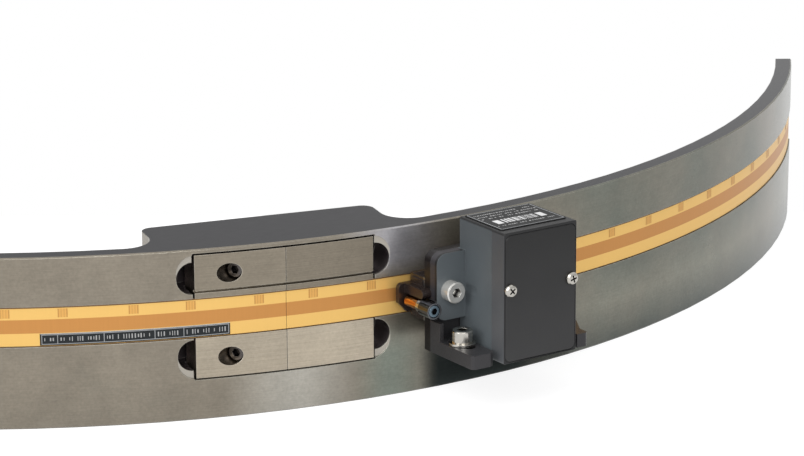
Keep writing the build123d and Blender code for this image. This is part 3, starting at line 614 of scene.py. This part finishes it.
def cleat_steel():
    """Ground steel with lines along the bars; painted light makes the lower bar brighter than the upper
    one.
    """
    made, tree, shader = start_material("cleat_steel", bar_tone, metallic=1.0, roughness=0.3)
    unrolled = group_node(tree, unrolled_drum).outputs["Unrolled"]
    axes = axes_of(tree, unrolled)
    patches = patches_on(tree, unrolled, per_metre=60.0, contrast=0.35)
    specks = patches_on(tree, unrolled, per_metre=1100.0, contrast=0.35)
    lines = lines_on(tree, unrolled, per_metre=3000.0, stretch=0.012)
    # Painted light: the lower bar brighter, the upper one darker, and more so on the right half.
    gain = between(tree, axes["Z"], tape_low.z, tape_high.z, *bar_light_gains)
    split_arc = math.radians(butt_angle) * tape_radius
    right = between(tree, axes["X"], split_arc - split_soft, split_arc + split_soft)
    right_gain = between(tree, axes["Z"], tape_low.z, tape_high.z, *right_half_light_gains)
    change = product(tree, right, math_node(tree, "SUBTRACT", right_gain, 1.0))
    factor = product(tree, patches, over_noise(tree, lines, 0.9, 1.1), specks, gain,
                     math_node(tree, "ADD", 1.0, change))
    color = tinted(tree, bar_tone, factor)
    color = mixed(tree, wear_and_glint_edges(tree, width=0.4 * mm, amount=0.6), color, bar_rubbed_tone)
    link_looks(tree, shader, color, over_noise(tree, lines, 0.26, 0.36))
    soft_normal(tree, shader, lines, depth=0.006 * mm, edge_radius=0.2 * mm)
    return made


def graduation_metal(name, color, roughness, line_contrast):
    """Rolled steel band with a gold-coloured graduation: faint lines across the track."""
    made, tree, shader = start_material(name, color, metallic=0.4, roughness=roughness)
    shader.inputs["Specular IOR Level"].default_value = 0.25
    unrolled = group_node(tree, unrolled_drum).outputs["Unrolled"]
    patches = patches_on(tree, unrolled, per_metre=40.0, contrast=0.06)
    turned = put(tree, "ShaderNodeMapping", {"Vector": unrolled, "Rotation": (0.0, math.pi / 2, 0.0)})
    lines = lines_on(tree, turned.outputs[0], per_metre=2400.0, stretch=0.02)
    ruling = over_noise(tree, lines, 1.0 - line_contrast, 1.0 + line_contrast)
    rough = over_noise(tree, lines, roughness - 0.01, roughness + 0.01)
    link_looks(tree, shader, tinted(tree, color, product(tree, patches, ruling)), rough)
    return made


def anodised(name, color, roughness, worn_color, wear):
    """Blasted and anodised aluminium, its edges a little rubbed."""
    made, tree, shader = start_material(name, color, anodised_metallic, roughness)
    grain = group_node(tree, blasted_grain, {"Grains per metre": anodised_grains})
    color = tinted(tree, color, grain.outputs["Shade"])
    color = mixed(tree, wear_and_glint_edges(tree, width=0.3 * mm, amount=wear), color, worn_color)
    rough = over_noise(tree, grain.outputs["Height"], roughness - 0.06, roughness + 0.06)
    link_looks(tree, shader, color, rough)
    soft_normal(tree, shader, grain.outputs["Height"], depth=0.02 * mm, edge_radius=0.18 * mm)
    return made, tree, shader, color


def housing_finish():
    """Blue-grey body, painted lighter low down and on the ears; painted shade on the ears' sides and a
    painted shadow line along their seam; a darker rim, and black at the top and round the cover.
    """
    made, tree, shader, color = anodised("housing_grey", housing_tone, roughness=0.42,
                                         worn_color=housing_worn_tone, wear=0.25)
    place = own_place(tree)
    out = outward(tree, place)
    axes = axes_of(tree, place)
    rim = product(tree, between(tree, out, rim_start, rim_start + finish_soft), rim_strength)
    color = mixed(tree, rim, color, rim_tone)
    on_ear = between(tree, math_node(tree, "ABSOLUTE", axes["X"]), *ear_across)
    # Painted light: lighter low down and on the ears.
    gain = between(tree, axes["Z"], housing_low.z, housing_high.z, *housing_light_gains)
    color = tinted(tree, color, between(tree, on_ear, 0.0, 1.0, gain, ear_light_gain))
    # Painted shade on the ears' sides.
    ear_side = product(tree, on_ear, between(tree, out, ear_front - finish_soft, ear_front, 1.0, 0.0))
    color = mixed(tree, ear_side, color, ear_side_shade_tone)
    edges = math_node(tree, "MAXIMUM", between(tree, axes["Z"], *black_top),
                      between(tree, out, *black_front))
    # Painted shadow line along the seam on the ears' sides.
    seam = product(tree, on_ear, between(tree, out, *seam_rear), between(tree, out, *seam_front, 1.0, 0.0))
    black = math_node(tree, "MAXIMUM", edges, seam)
    tree.links.new(mixed(tree, black, color, seam_and_gap_shadow_tone), shader.inputs["Base Color"])
    return made


def cover_finish():
    """Charcoal cover, darker towards its top in painted shade."""
    made, tree, shader, color = anodised("cover_charcoal", cover_tone, roughness=0.42,
                                         worn_color=cover_worn_tone, wear=0.15)
    height = axes_of(tree, own_place(tree))["Z"]
    # Painted shade: darker towards the top, lighter low down.
    gain = between(tree, height, cover_low.z, cover_high.z, *cover_shade_gains)
    tree.links.new(tinted(tree, color, gain), shader.inputs["Base Color"])
    return made


def bracket_finish():
    """Dark grey; the plate behind the ears and the right foot are darker in painted shade; the barrel is
    bright.
    """
    made, tree, shader, color = anodised("bracket_grey", bracket_tone, roughness=0.3,
                                         worn_color=bracket_worn_tone, wear=0.3)
    shader.inputs["Specular IOR Level"].default_value = 0.3
    place = own_place(tree)
    across = axes_of(tree, place)["X"]
    # Painted shade on the plate behind the ears and on the right foot.
    behind = between(tree, outward(tree, place), *behind_ears, 1.0, 0.0)
    right = between(tree, across, housing_high.x, housing_high.x + finish_soft)
    color = mixed(tree, math_node(tree, "MAXIMUM", behind, right), color, bracket_shade_tone)
    barrel = between(tree, across, barrel_side - split_soft, barrel_side, 1.0, 0.0)
    tree.links.new(between(tree, barrel, 0.0, 1.0, anodised_metallic, 1.0), shader.inputs["Metallic"])
    grain = group_node(tree, blasted_grain, {"Grains per metre": anodised_grains})
    plain = over_noise(tree, grain.outputs["Height"], 0.26, 0.36)
    polished = product(tree, plain, between(tree, barrel, 0.0, 1.0, 1.0, 0.5))
    rough = math_node(tree, "ADD", polished, product(tree, right, 0.45))
    link_looks(tree, shader, mixed(tree, barrel, color, barrel_tone), rough)
    return made


def turned_screw(name, color, roughness, metallic=1.0):
    """Turned and plated steel: fine turning marks, patches of oil film, painted shade in the recesses."""
    made, tree, shader = start_material(name, color, metallic, roughness)
    place = own_place(tree)
    film = patches_on(tree, place, per_metre=420.0, contrast=0.22)
    lines = lines_on(tree, place, per_metre=5200.0, stretch=0.3)
    # Painted shade in the screw's recesses and inner corners.
    recess = group_node(tree, shaded_recesses, {"Reach": 1.8 * mm, "Open": 0.82, "Shut": 0.5})
    color = mixed(tree, recess.outputs["Mask"], tinted(tree, color, film), recess_shade_tone)
    link_looks(tree, shader, color, over_noise(tree, lines, roughness * 0.7, roughness * 1.4))
    soft_normal(tree, shader, lines, depth=0.004 * mm, edge_radius=0.25 * mm)
    return made


def plastic(name, color, roughness, coat=0.0, gloss=0.5):
    """Moulded or painted plain part with a fine skin."""
    made, tree, shader = start_material(name, color, 0.0, roughness)
    shader.inputs["Specular IOR Level"].default_value = gloss
    shader.inputs["Coat Weight"].default_value = coat
    grain = group_node(tree, blasted_grain, {"Grains per metre": 3600.0})
    rough = over_noise(tree, grain.outputs["Height"], roughness - 0.05, roughness + 0.05)
    link_looks(tree, shader, tinted(tree, color, grain.outputs["Shade"]), rough)
    soft_normal(tree, shader, grain.outputs["Height"], depth=0.01 * mm, edge_radius=0.1 * mm)
    return made


def optical_glass():
    """Glass with a chrome grating, so it is smoky and brown, and a trace of dust."""
    made, tree, shader = start_material("optical_glass", (0.42, 0.26, 0.14), metallic=0.0, roughness=0.04)
    shader.inputs["Transmission Weight"].default_value = 0.9
    shader.inputs["IOR"].default_value = 1.52
    dust = patches_on(tree, own_place(tree), per_metre=900.0, contrast=0.5)
    tree.links.new(between(tree, dust, 0.9, 1.3, 0.03, 0.12), shader.inputs["Roughness"])
    return made


def set_finish(node, material):
    """Gives a CAD node's own object its finish."""
    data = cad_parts[node].data
    data.materials.clear()
    data.materials.append(material)


steel = drum_steel()
bar_steel = cleat_steel()
# Each of these starts with its name, its tone and its roughness
gold = graduation_metal("gold_track", (0.885, 0.553, 0.168), 0.34, line_contrast=0.006)
brown = graduation_metal("graduated_track", (0.6, 0.278, 0.079), 0.36, line_contrast=0.015)
# The bare tape's dark brown also shows as the painted shadow line along the tape's top edge.
tape_steel = graduation_metal("tape_steel", (0.22, 0.12, 0.05), 0.36, line_contrast=0.02)
mark_dark = graduation_metal("mark_lines", (0.58, 0.29, 0.085), 0.36, line_contrast=0.006)
mark_fill = graduation_metal("mark_field", (0.78, 0.43, 0.12), 0.34, line_contrast=0.006)
housing_grey = housing_finish()
cover_charcoal = cover_finish()
bracket_grey = bracket_finish()
frame_brown = anodised("frame_black_brown", (0.026, 0.018, 0.016), roughness=0.26,
                       worn_color=(0.09, 0.06, 0.05), wear=0.3)[0]
bright_screw = turned_screw("bright_screw", (0.5, 0.48, 0.44), 0.16)
ear_screw = turned_screw("polished_screw", (0.66, 0.65, 0.62), 0.18, metallic=0.6)
dark_screw = turned_screw("oiled_screw", (0.1, 0.092, 0.09), 0.25)
nickel = turned_screw("nickel", (0.56, 0.54, 0.5), 0.2)
blued = turned_screw("blued_screw", (0.13, 0.18, 0.22), 0.2)
copper = turned_screw("copper_tip", (0.62, 0.26, 0.07), 0.2)
shim_metal = turned_screw("rolled_shim", (0.3, 0.29, 0.28), 0.3)
rubber = plastic("black_rubber", (0.012, 0.012, 0.012), 0.7)
label_black = plastic("plate_black", (0.007, 0.0075, 0.008), 0.5, gloss=0.3)
strip_foil = plastic("strip_foil", (0.011, 0.014, 0.016), 0.5, gloss=0.3)
label_white = plastic("printed_white", (0.72, 0.72, 0.72), 0.5)
label_grey = plastic("printed_grey", (0.42, 0.42, 0.42), 0.5)
label_silver = plastic("printed_silver", (0.36, 0.37, 0.38), 0.45)
board_green = plastic("solder_mask", (0.01, 0.08, 0.03), 0.3, coat=0.3)
chip_black = plastic("moulded_chip", (0.015, 0.015, 0.016), 0.5)
lamp_clear = plastic("lamp_resin", (0.5, 0.53, 0.56), 0.15, coat=0.5)
silicon = plastic("detector_cells", (0.03, 0.035, 0.08), 0.12, coat=0.8)
amber_film = plastic("lead_film", (0.45, 0.2, 0.04), 0.3, coat=0.2)
lens_glass = optical_glass()

finishes = (
    (steel, "drum_ring"),
    (bar_steel, "cleat_left_half", "cleat_right_half"),
    (tape_steel, "scale_tape"),
    (strip_foil, "name_strip"),
    (dark_screw, "tension_screw_upper", "tension_screw_lower", "cleat_fixing_screws", "cleat_dowels",
     "frame_screws"),
    (bright_screw, "foot_screws", "foot_washers", "cover_screws", "board_screws"),
    (ear_screw, "ear_screws"),
    (bracket_grey, "bracket"),
    (housing_grey, "head_housing"),
    (cover_charcoal, "front_cover"),
    (rubber, "cover_gasket", "inlet_seal"),
    (label_black, "top_plate"),
    (nickel, "cable_inlet", "adjuster_collar"),
    (board_green, "circuit_board", "sensor_board"),
    (chip_black, "board_components"),
    (frame_brown, "scanning_frame"),
    (lens_glass, "reticle_glass", "condenser_lens"),
    (shim_metal, "spacer_shim"),
    (lamp_clear, "light_source"),
    (silicon, "photo_detectors"),
    (amber_film, "flat_lead"),
    (blued, "adjuster_screw"),
    (copper, "adjuster_tip"),
)
for material, *nodes in finishes:
    for node in nodes:
        set_finish(node, material)


def add_object(name, data):
    """A new object in the scene with this mesh, lamp or camera."""
    made = bpy.data.objects.new(name, data)
    bpy.context.scene.collection.objects.link(made)
    return made


def new_piece(name, points, faces, material, body, smooth=False):
    """A piece of its own, with its mesh and finish, that rides on a body."""
    mesh = bpy.data.meshes.new(name)
    mesh.from_pydata(points, [], faces)
    mesh.materials.append(material)
    for face in mesh.polygons:
        face.use_smooth = smooth
    mesh.update()
    made = add_object(name, mesh)
    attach(made, body)
    return made


def on_drum(radius, angle, z):
    """A point on the drum: the angle in degrees runs from -Y towards +X."""
    turn = math.radians(angle)
    return (radius * math.sin(turn), -radius * math.cos(turn), z)


def degrees_of(length, radius):
    """The angle that a length takes up on a circle."""
    return math.degrees(length / radius)


def bent_patches(name, patches, radius, material):
    """Thin patches that follow the drum: each is (start angle, end angle, low z, high z)."""
    points = []
    faces = []
    for start, end, low, high in patches:
        count = max(1, math.ceil((end - start) / arc_step))
        first = len(points)
        for i in range(count + 1):
            angle = start + (end - start) * i / count
            points.append(on_drum(radius, angle, low))
            points.append(on_drum(radius, angle, high))
        for i in range(count):
            a = first + 2 * i
            faces.append((a, a + 2, a + 3, a + 1))
    return new_piece(name, points, faces, material, "drum", smooth=True)


def flat_patches(name, patches, z, material):
    """Thin rectangles on the head's top: each is (low x, high x, near, far) from the axis."""
    points = []
    faces = []
    for x0, x1, near, far in patches:
        first = len(points)
        points += [(x0, -far, z), (x1, -far, z), (x1, -near, z), (x0, -near, z)]
        faces.append((first, first + 1, first + 2, first + 3))
    return new_piece(name, points, faces, material, "head")


def border_of(left, right, low, high, wide, tall):
    """Four thin patches along the edges of a rectangle."""
    return [(left, right, low, low + tall), (left, right, high - tall, high),
            (left, left + wide, low, high), (right - wide, right, low, high)]


def tape_tracks():
    """Three bands with almost no thickness, printed on the tape."""
    start = butt_angle + butt_half_angle
    end = butt_angle + 360 - butt_half_angle
    radius = tape_radius + track_proud
    tracks = {
        "lower_track": (tape_low.z + tape_edge, lower_track_top, gold),
        "graduated_track": (lower_track_top, upper_track_bottom, brown),
        "upper_track": (upper_track_bottom, tape_high.z - tape_shadow, gold),
    }
    for name, (low, high, material) in tracks.items():
        band = bent_patches(name, [(start, end, low, high)], radius, material)


def mark_angles():
    """Pairs of marks left of the head, evenly spaced ones round the rest of the drum."""
    angles = []
    angle = pair_start
    while angle < pair_last:
        angles += [a for a in (angle, angle + pair_second) if a < pair_last]
        angle += pair_pitch
    angle = even_start
    while angle < even_last:
        angles.append(angle)
        angle += even_pitch
    return angles


def reference_marks():
    """Each mark is a lighter field between two lines, with two thin lines inside it."""
    radius = tape_radius + 2 * track_proud
    half = degrees_of(mark_width / 2, radius)
    line = degrees_of(mark_line_width, radius)
    thin = degrees_of(mark_inner_width, radius)
    fields = []
    lines = []
    for angle in mark_angles():
        fields.append((angle - half, angle + half, mark_bottom, mark_top))
        lines.append((angle - half, angle - half + line, mark_bottom, mark_top))
        lines.append((angle + half - line, angle + half, mark_bottom, mark_top))
        for share in (-mark_inner_share, mark_inner_share):
            middle = angle + share * half
            lines.append((middle - thin / 2, middle + thin / 2, mark_bottom, mark_top))
    bent_patches("mark_fields", fields, radius, mark_fill)
    bent_patches("mark_lines", lines, radius + track_proud, mark_dark)


def strip_print():
    """Border, dividers, plain short bars and a light rim on the name strip."""
    draw = random.Random(strip_seed)
    radius = strip_radius + track_proud
    low = strip_low.z + strip_inset
    high = strip_high.z - strip_inset
    start = strip_start_angle + degrees_of(strip_inset, radius)
    end = strip_end_angle - degrees_of(strip_inset, radius)
    line = degrees_of(strip_border, radius)
    dividers = [start + share * (end - start) for share in strip_dividers]
    patches = border_of(start, end, low, high, wide=line, tall=strip_border)
    patches += [(divider - line / 2, divider + line / 2, low, high) for divider in dividers]
    bent_patches("strip_lines", patches, radius, label_silver)
    middle = (low + high) / 2
    first_gap, last_gap = (degrees_of(margin, radius) for margin in strip_margins)
    bars = []
    for left, right in zip([start, *dividers], [*dividers, end]):
        angle = left + first_gap
        while angle < right - last_gap:
            wide = degrees_of(draw.choice(strip_bar_widths) * mm, radius)
            tall = strip_bar_height * draw.choice(strip_height_shares)
            bars.append((angle, angle + wide, middle - tall / 2, middle + tall / 2))
            angle += wide + degrees_of(draw.choice(strip_bar_gaps) * mm, radius)
    bent_patches("strip_bars", bars, radius, label_grey)
    rim = [(strip_start_angle, strip_end_angle, strip_high.z - strip_rim, strip_high.z)]
    bent_patches("strip_rim", rim, radius, label_white)


def prism_faces(count):
    """The two ends and the sides of a prism whose outline has this many points."""
    faces = [tuple(range(count - 1, -1, -1)), tuple(range(count, 2 * count))]
    return faces + [(i, (i + 1) % count, count + (i + 1) % count, count + i) for i in range(count)]


def head_plate():
    """Thin foil plate with rounded corners, in place of the plain one."""
    right, left = plate_high.x - plate_corner, plate_low.x + plate_corner
    rear, front = plate_high.y - plate_corner, plate_low.y + plate_corner
    outline = []
    for quarter, (x, y) in enumerate(((right, rear), (left, rear), (left, front), (right, front))):
        for angle in range(90 * quarter, 90 * quarter + 91, corner_step):
            turn = math.radians(angle)
            outline.append((x + plate_corner * math.cos(turn), y + plate_corner * math.sin(turn)))
    top = plate_low.z + plate_thin
    points = [(x, y, plate_low.z) for x, y in outline] + [(x, y, top) for x, y in outline]
    plate = new_piece("head_plate", points, prism_faces(len(outline)), label_black, "head")
    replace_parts(plate, "top_plate")


def plate_print():
    """Border line, one row of bars between two blocks, and rows of plain fine dashes."""
    draw = random.Random(plate_seed)
    z = plate_low.z + print_proud
    x0, x1 = plate_low.x + plate_border_inset, plate_high.x - plate_border_inset
    near, far = -plate_high.y + plate_border_inset, -plate_low.y - plate_border_inset
    border = border_of(x0, x1, near, far, wide=plate_border, tall=plate_border)
    flat_patches("plate_border", border, z, label_silver)
    bars = [(-bars_half_width, -bars_half_width + end_block, bars_near, bars_far),
            (bars_half_width - end_block, bars_half_width, bars_near, bars_far)]
    x = -bars_half_width + end_block + bars_margins[0]
    while x < bars_half_width - end_block - bars_margins[1]:
        wide = draw.choice(bar_widths) * mm
        bars.append((x, x + wide, bars_near, bars_far))
        x += wide + draw.choice(bar_gaps) * mm
    flat_patches("plate_bars", bars, z, label_white)
    dashes = []
    for row in dash_rows:
        x = x0 + dash_margins[0]
        while x < x1 - dash_margins[1]:
            wide = draw.choice(dash_widths) * mm
            if draw.random() < dash_share:
                dashes.append((x, x + wide, row, row + dash_height))
            x += wide + draw.choice(dash_gaps) * mm
    flat_patches("plate_dashes", dashes, z, label_grey)


def lathe_mesh(name, profile, segments=48):
    """Turns (radius, height) points about Z; the first and the last lie on the axis."""
    points = [(0.0, 0.0, profile[0][1])]
    for radius, height in profile[1:-1]:
        for i in range(segments):
            turn = 2 * math.pi * i / segments
            points.append((radius * math.cos(turn), radius * math.sin(turn), height))
    points.append((0.0, 0.0, profile[-1][1]))
    rings = len(profile) - 2
    last = len(points) - 1
    faces = []
    for i in range(segments):
        j = (i + 1) % segments
        faces.append((0, 1 + j, 1 + i))
        for ring in range(rings - 1):
            a, b = 1 + ring * segments, 1 + (ring + 1) * segments
            faces.append((a + i, a + j, b + j, b + i))
        base = 1 + (rings - 1) * segments
        faces.append((base + i, base + j, last))
    mesh = bpy.data.meshes.new(name)
    mesh.from_pydata(points, [], faces)
    mesh.flip_normals()
    return mesh


def cross_cutter(radius, top, deep):
    """A tapered plus-shaped plug that leaves a cross recess in a screw's head."""
    points = []
    for height, long_share, wide_share in ((top - deep, *recess_floor), (top, 1.0, 1.0)):
        reach = radius * recess_reach * long_share
        half = radius * recess_half_width * wide_share
        for quarter in range(4):
            turn = Matrix.Rotation(quarter * math.pi / 2, 3, "Z")
            for x, y in ((reach, -half), (reach, half), (half, half)):
                points.append(tuple(turn @ Vector((x, y, height))))
    mesh = bpy.data.meshes.new("cross_cutter")
    mesh.from_pydata(points, [], prism_faces(len(points) // 2))
    return add_object("cross_cutter", mesh)


def mesh_without(piece, cutter):
    """The piece's mesh with the cutter's shape taken out; the cutter goes."""
    cut = piece.modifiers.new("recess", "BOOLEAN")
    cut.operation = "DIFFERENCE"
    cut.solver = "EXACT"
    cut.object = cutter
    graph = bpy.context.evaluated_depsgraph_get()
    made = bpy.data.meshes.new_from_object(piece.evaluated_get(graph))
    piece.modifiers.clear()
    bpy.data.objects.remove(cutter)
    return made


def cover_screw(name, x, turn):
    """Small domed head with a cross recess and its shank, standing in the cover."""
    low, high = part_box("cover_screws")
    seat = cover_low.y
    crown = seat - low.y
    shank_end = seat - high.y
    dome = [(wide * cover_head_radius, tall * crown) for wide, tall in cover_dome]
    profile = [(0.0, crown), *dome, (cover_shank_radius, 0.0), (cover_shank_radius, shank_end),
               (0.0, shank_end)]
    made = add_object(name, lathe_mesh(name, profile))
    cutter = cross_cutter(cover_head_radius, crown + recess_clear, recess_depth * crown)
    made.data = mesh_without(made, cutter)
    upright = Matrix.Rotation(math.radians(90), 4, "X") @ Matrix.Rotation(math.radians(turn), 4, "Z")
    made.data.transform(Matrix.Translation((x, seat, (low.z + high.z) / 2)) @ upright)
    made.data.materials.clear()
    made.data.materials.append(bright_screw)
    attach(made, "head")
    return made


def cover_screws():
    """The two screws of the cover, in place of the plain ones."""
    low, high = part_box("cover_screws")
    head_reach = (high.z - low.z) / 2
    places = {"cover_screw_left": low.x + head_reach, "cover_screw_right": high.x - head_reach}
    for (name, x), turn in zip(places.items(), cover_screw_turns):
        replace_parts(cover_screw(name, x, turn), "cover_screws")


def seen_directly(tree, rays):
    """1 for what the camera sees, also through glass."""
    return math_node(tree, "MAXIMUM", rays["Is Camera Ray"], rays["Is Transmission Ray"])


def shadow_of_head(tree):
    """1 on the floor beside the head, wherever the head is: a painted shadow there, which metal mirrors."""
    place = place_beside_head(tree)
    start = put(tree, "ShaderNodeVectorMath", {0: place, 1: shadow_start}, operation="SUBTRACT").outputs[0]
    turn = math.radians(shadow_heading)
    across = dot_product(tree, start, (math.cos(turn), math.sin(turn), 0.0))
    reach = outward(tree, place)
    near = between(tree, reach, head_rear - shadow_fade, head_rear)
    far = between(tree, reach, head_front, head_front + shadow_fade, 1.0, 0.0)
    return product(tree, within(tree, across, 0.0, shadow_width, shadow_soft), near, far)


def floor_material():
    """White studio floor that keeps the shadow, and has a painted shadow beside the head that only mirror
    rays see.
    """
    made = bpy.data.materials.new("studio_floor")
    made.use_nodes = True
    tree = made.node_tree
    tree.nodes.clear()
    rays = put(tree, "ShaderNodeLightPath").outputs
    dark = product(tree, shadow_of_head(tree), rays["Is Glossy Ray"])
    lit = math_node(tree, "SUBTRACT", 1.0, dark)
    glow = product(tree, seen_directly(tree, rays), floor_glow)
    mirrored = product(tree, rays["Is Glossy Ray"], mirrored_glow)
    glow = product(tree, math_node(tree, "MAXIMUM", glow, mirrored), lit)
    matt = put(tree, "ShaderNodeBsdfDiffuse", {"Color": tinted(tree, floor_tone, lit)})
    light = put(tree, "ShaderNodeEmission", {"Strength": glow})
    both = put(tree, "ShaderNodeAddShader", {0: matt.outputs[0], 1: light.outputs[0]})
    put(tree, "ShaderNodeOutputMaterial", {"Surface": both.outputs[0]})
    return made


def studio():
    """The floor, and a sky that is white to the camera and lights the object evenly."""
    half = floor_half
    mesh = bpy.data.meshes.new("floor")
    mesh.from_pydata([(-half, -half, 0), (half, -half, 0), (half, half, 0), (-half, half, 0)], [],
                     [(0, 1, 2, 3)])
    mesh.materials.append(floor_material())
    floor = add_object("floor", mesh)
    world = bpy.data.worlds.new("studio")
    world.use_nodes = True
    tree = world.node_tree
    tree.nodes.clear()
    rays = put(tree, "ShaderNodeLightPath").outputs
    toward = put(tree, "ShaderNodeTexCoord").outputs["Generated"]
    sky = between(tree, axes_of(tree, toward)["Z"], 0.0, sky_full_from, sky_low, sky_high)
    strength = math_node(tree, "MAXIMUM", seen_directly(tree, rays), sky)
    back = put(tree, "ShaderNodeBackground", {"Color": (1.0, 1.0, 1.0, 1.0), "Strength": strength})
    put(tree, "ShaderNodeOutputWorld", {"Surface": back.outputs[0]})
    bpy.context.scene.world = world


def aim(lamp, direction):
    """Turns a lamp so that it shines in this direction."""
    lamp.rotation_mode = "QUATERNION"
    lamp.rotation_quaternion = Vector(direction).to_track_quat("-Z", "Y")


def softbox(name, place, target, width, height, power):
    data = bpy.data.lights.new(name, "AREA")
    data.shape = "RECTANGLE"
    data.size = width
    data.size_y = height
    data.energy = power
    lamp = add_object(name, data)
    lamp.location = place
    aim(lamp, Vector(target) - Vector(place))


def sun_lamp(name, direction, strength, spread):
    data = bpy.data.lights.new(name, "SUN")
    data.energy = strength
    data.angle = math.radians(spread)
    aim(add_object(name, data), direction)


def camera():
    """The photograph's own view; what lies beyond camera_far is left out of it."""
    data = bpy.data.cameras.new("photo_camera")
    data.lens = camera_lens
    data.sensor_width = camera_sensor
    data.clip_start = camera_near
    data.clip_end = camera_far
    turn = Matrix.Rotation(math.radians(camera_heading), 4, "Z")
    turn = turn @ Matrix.Rotation(math.radians(90 - camera_pitch), 4, "X")
    turn = turn @ Matrix.Rotation(math.radians(camera_roll), 4, "Z")
    made = add_object("photo_camera", data)
    made.matrix_world = Matrix.Translation(camera_place) @ turn
    bpy.context.scene.camera = made


tape_tracks()
reference_marks()
strip_print()
head_plate()
plate_print()
cover_screws()
studio()
sun_lamp("key", direction=(0.75, 0.3, -0.8), strength=0.75, spread=30.0)
softbox("left_softbox", place=(-1.9, -0.5, 0.7), target=(0.0, -0.25, 0.03),
        width=1.0, height=0.9, power=9.0)
softbox("front_softbox", place=(-0.6, -1.5, 0.6), target=(0.0, -0.29, 0.03),
        width=0.7, height=0.5, power=5.0)
camera()
bpy.context.scene.view_settings.view_transform = "Standard"
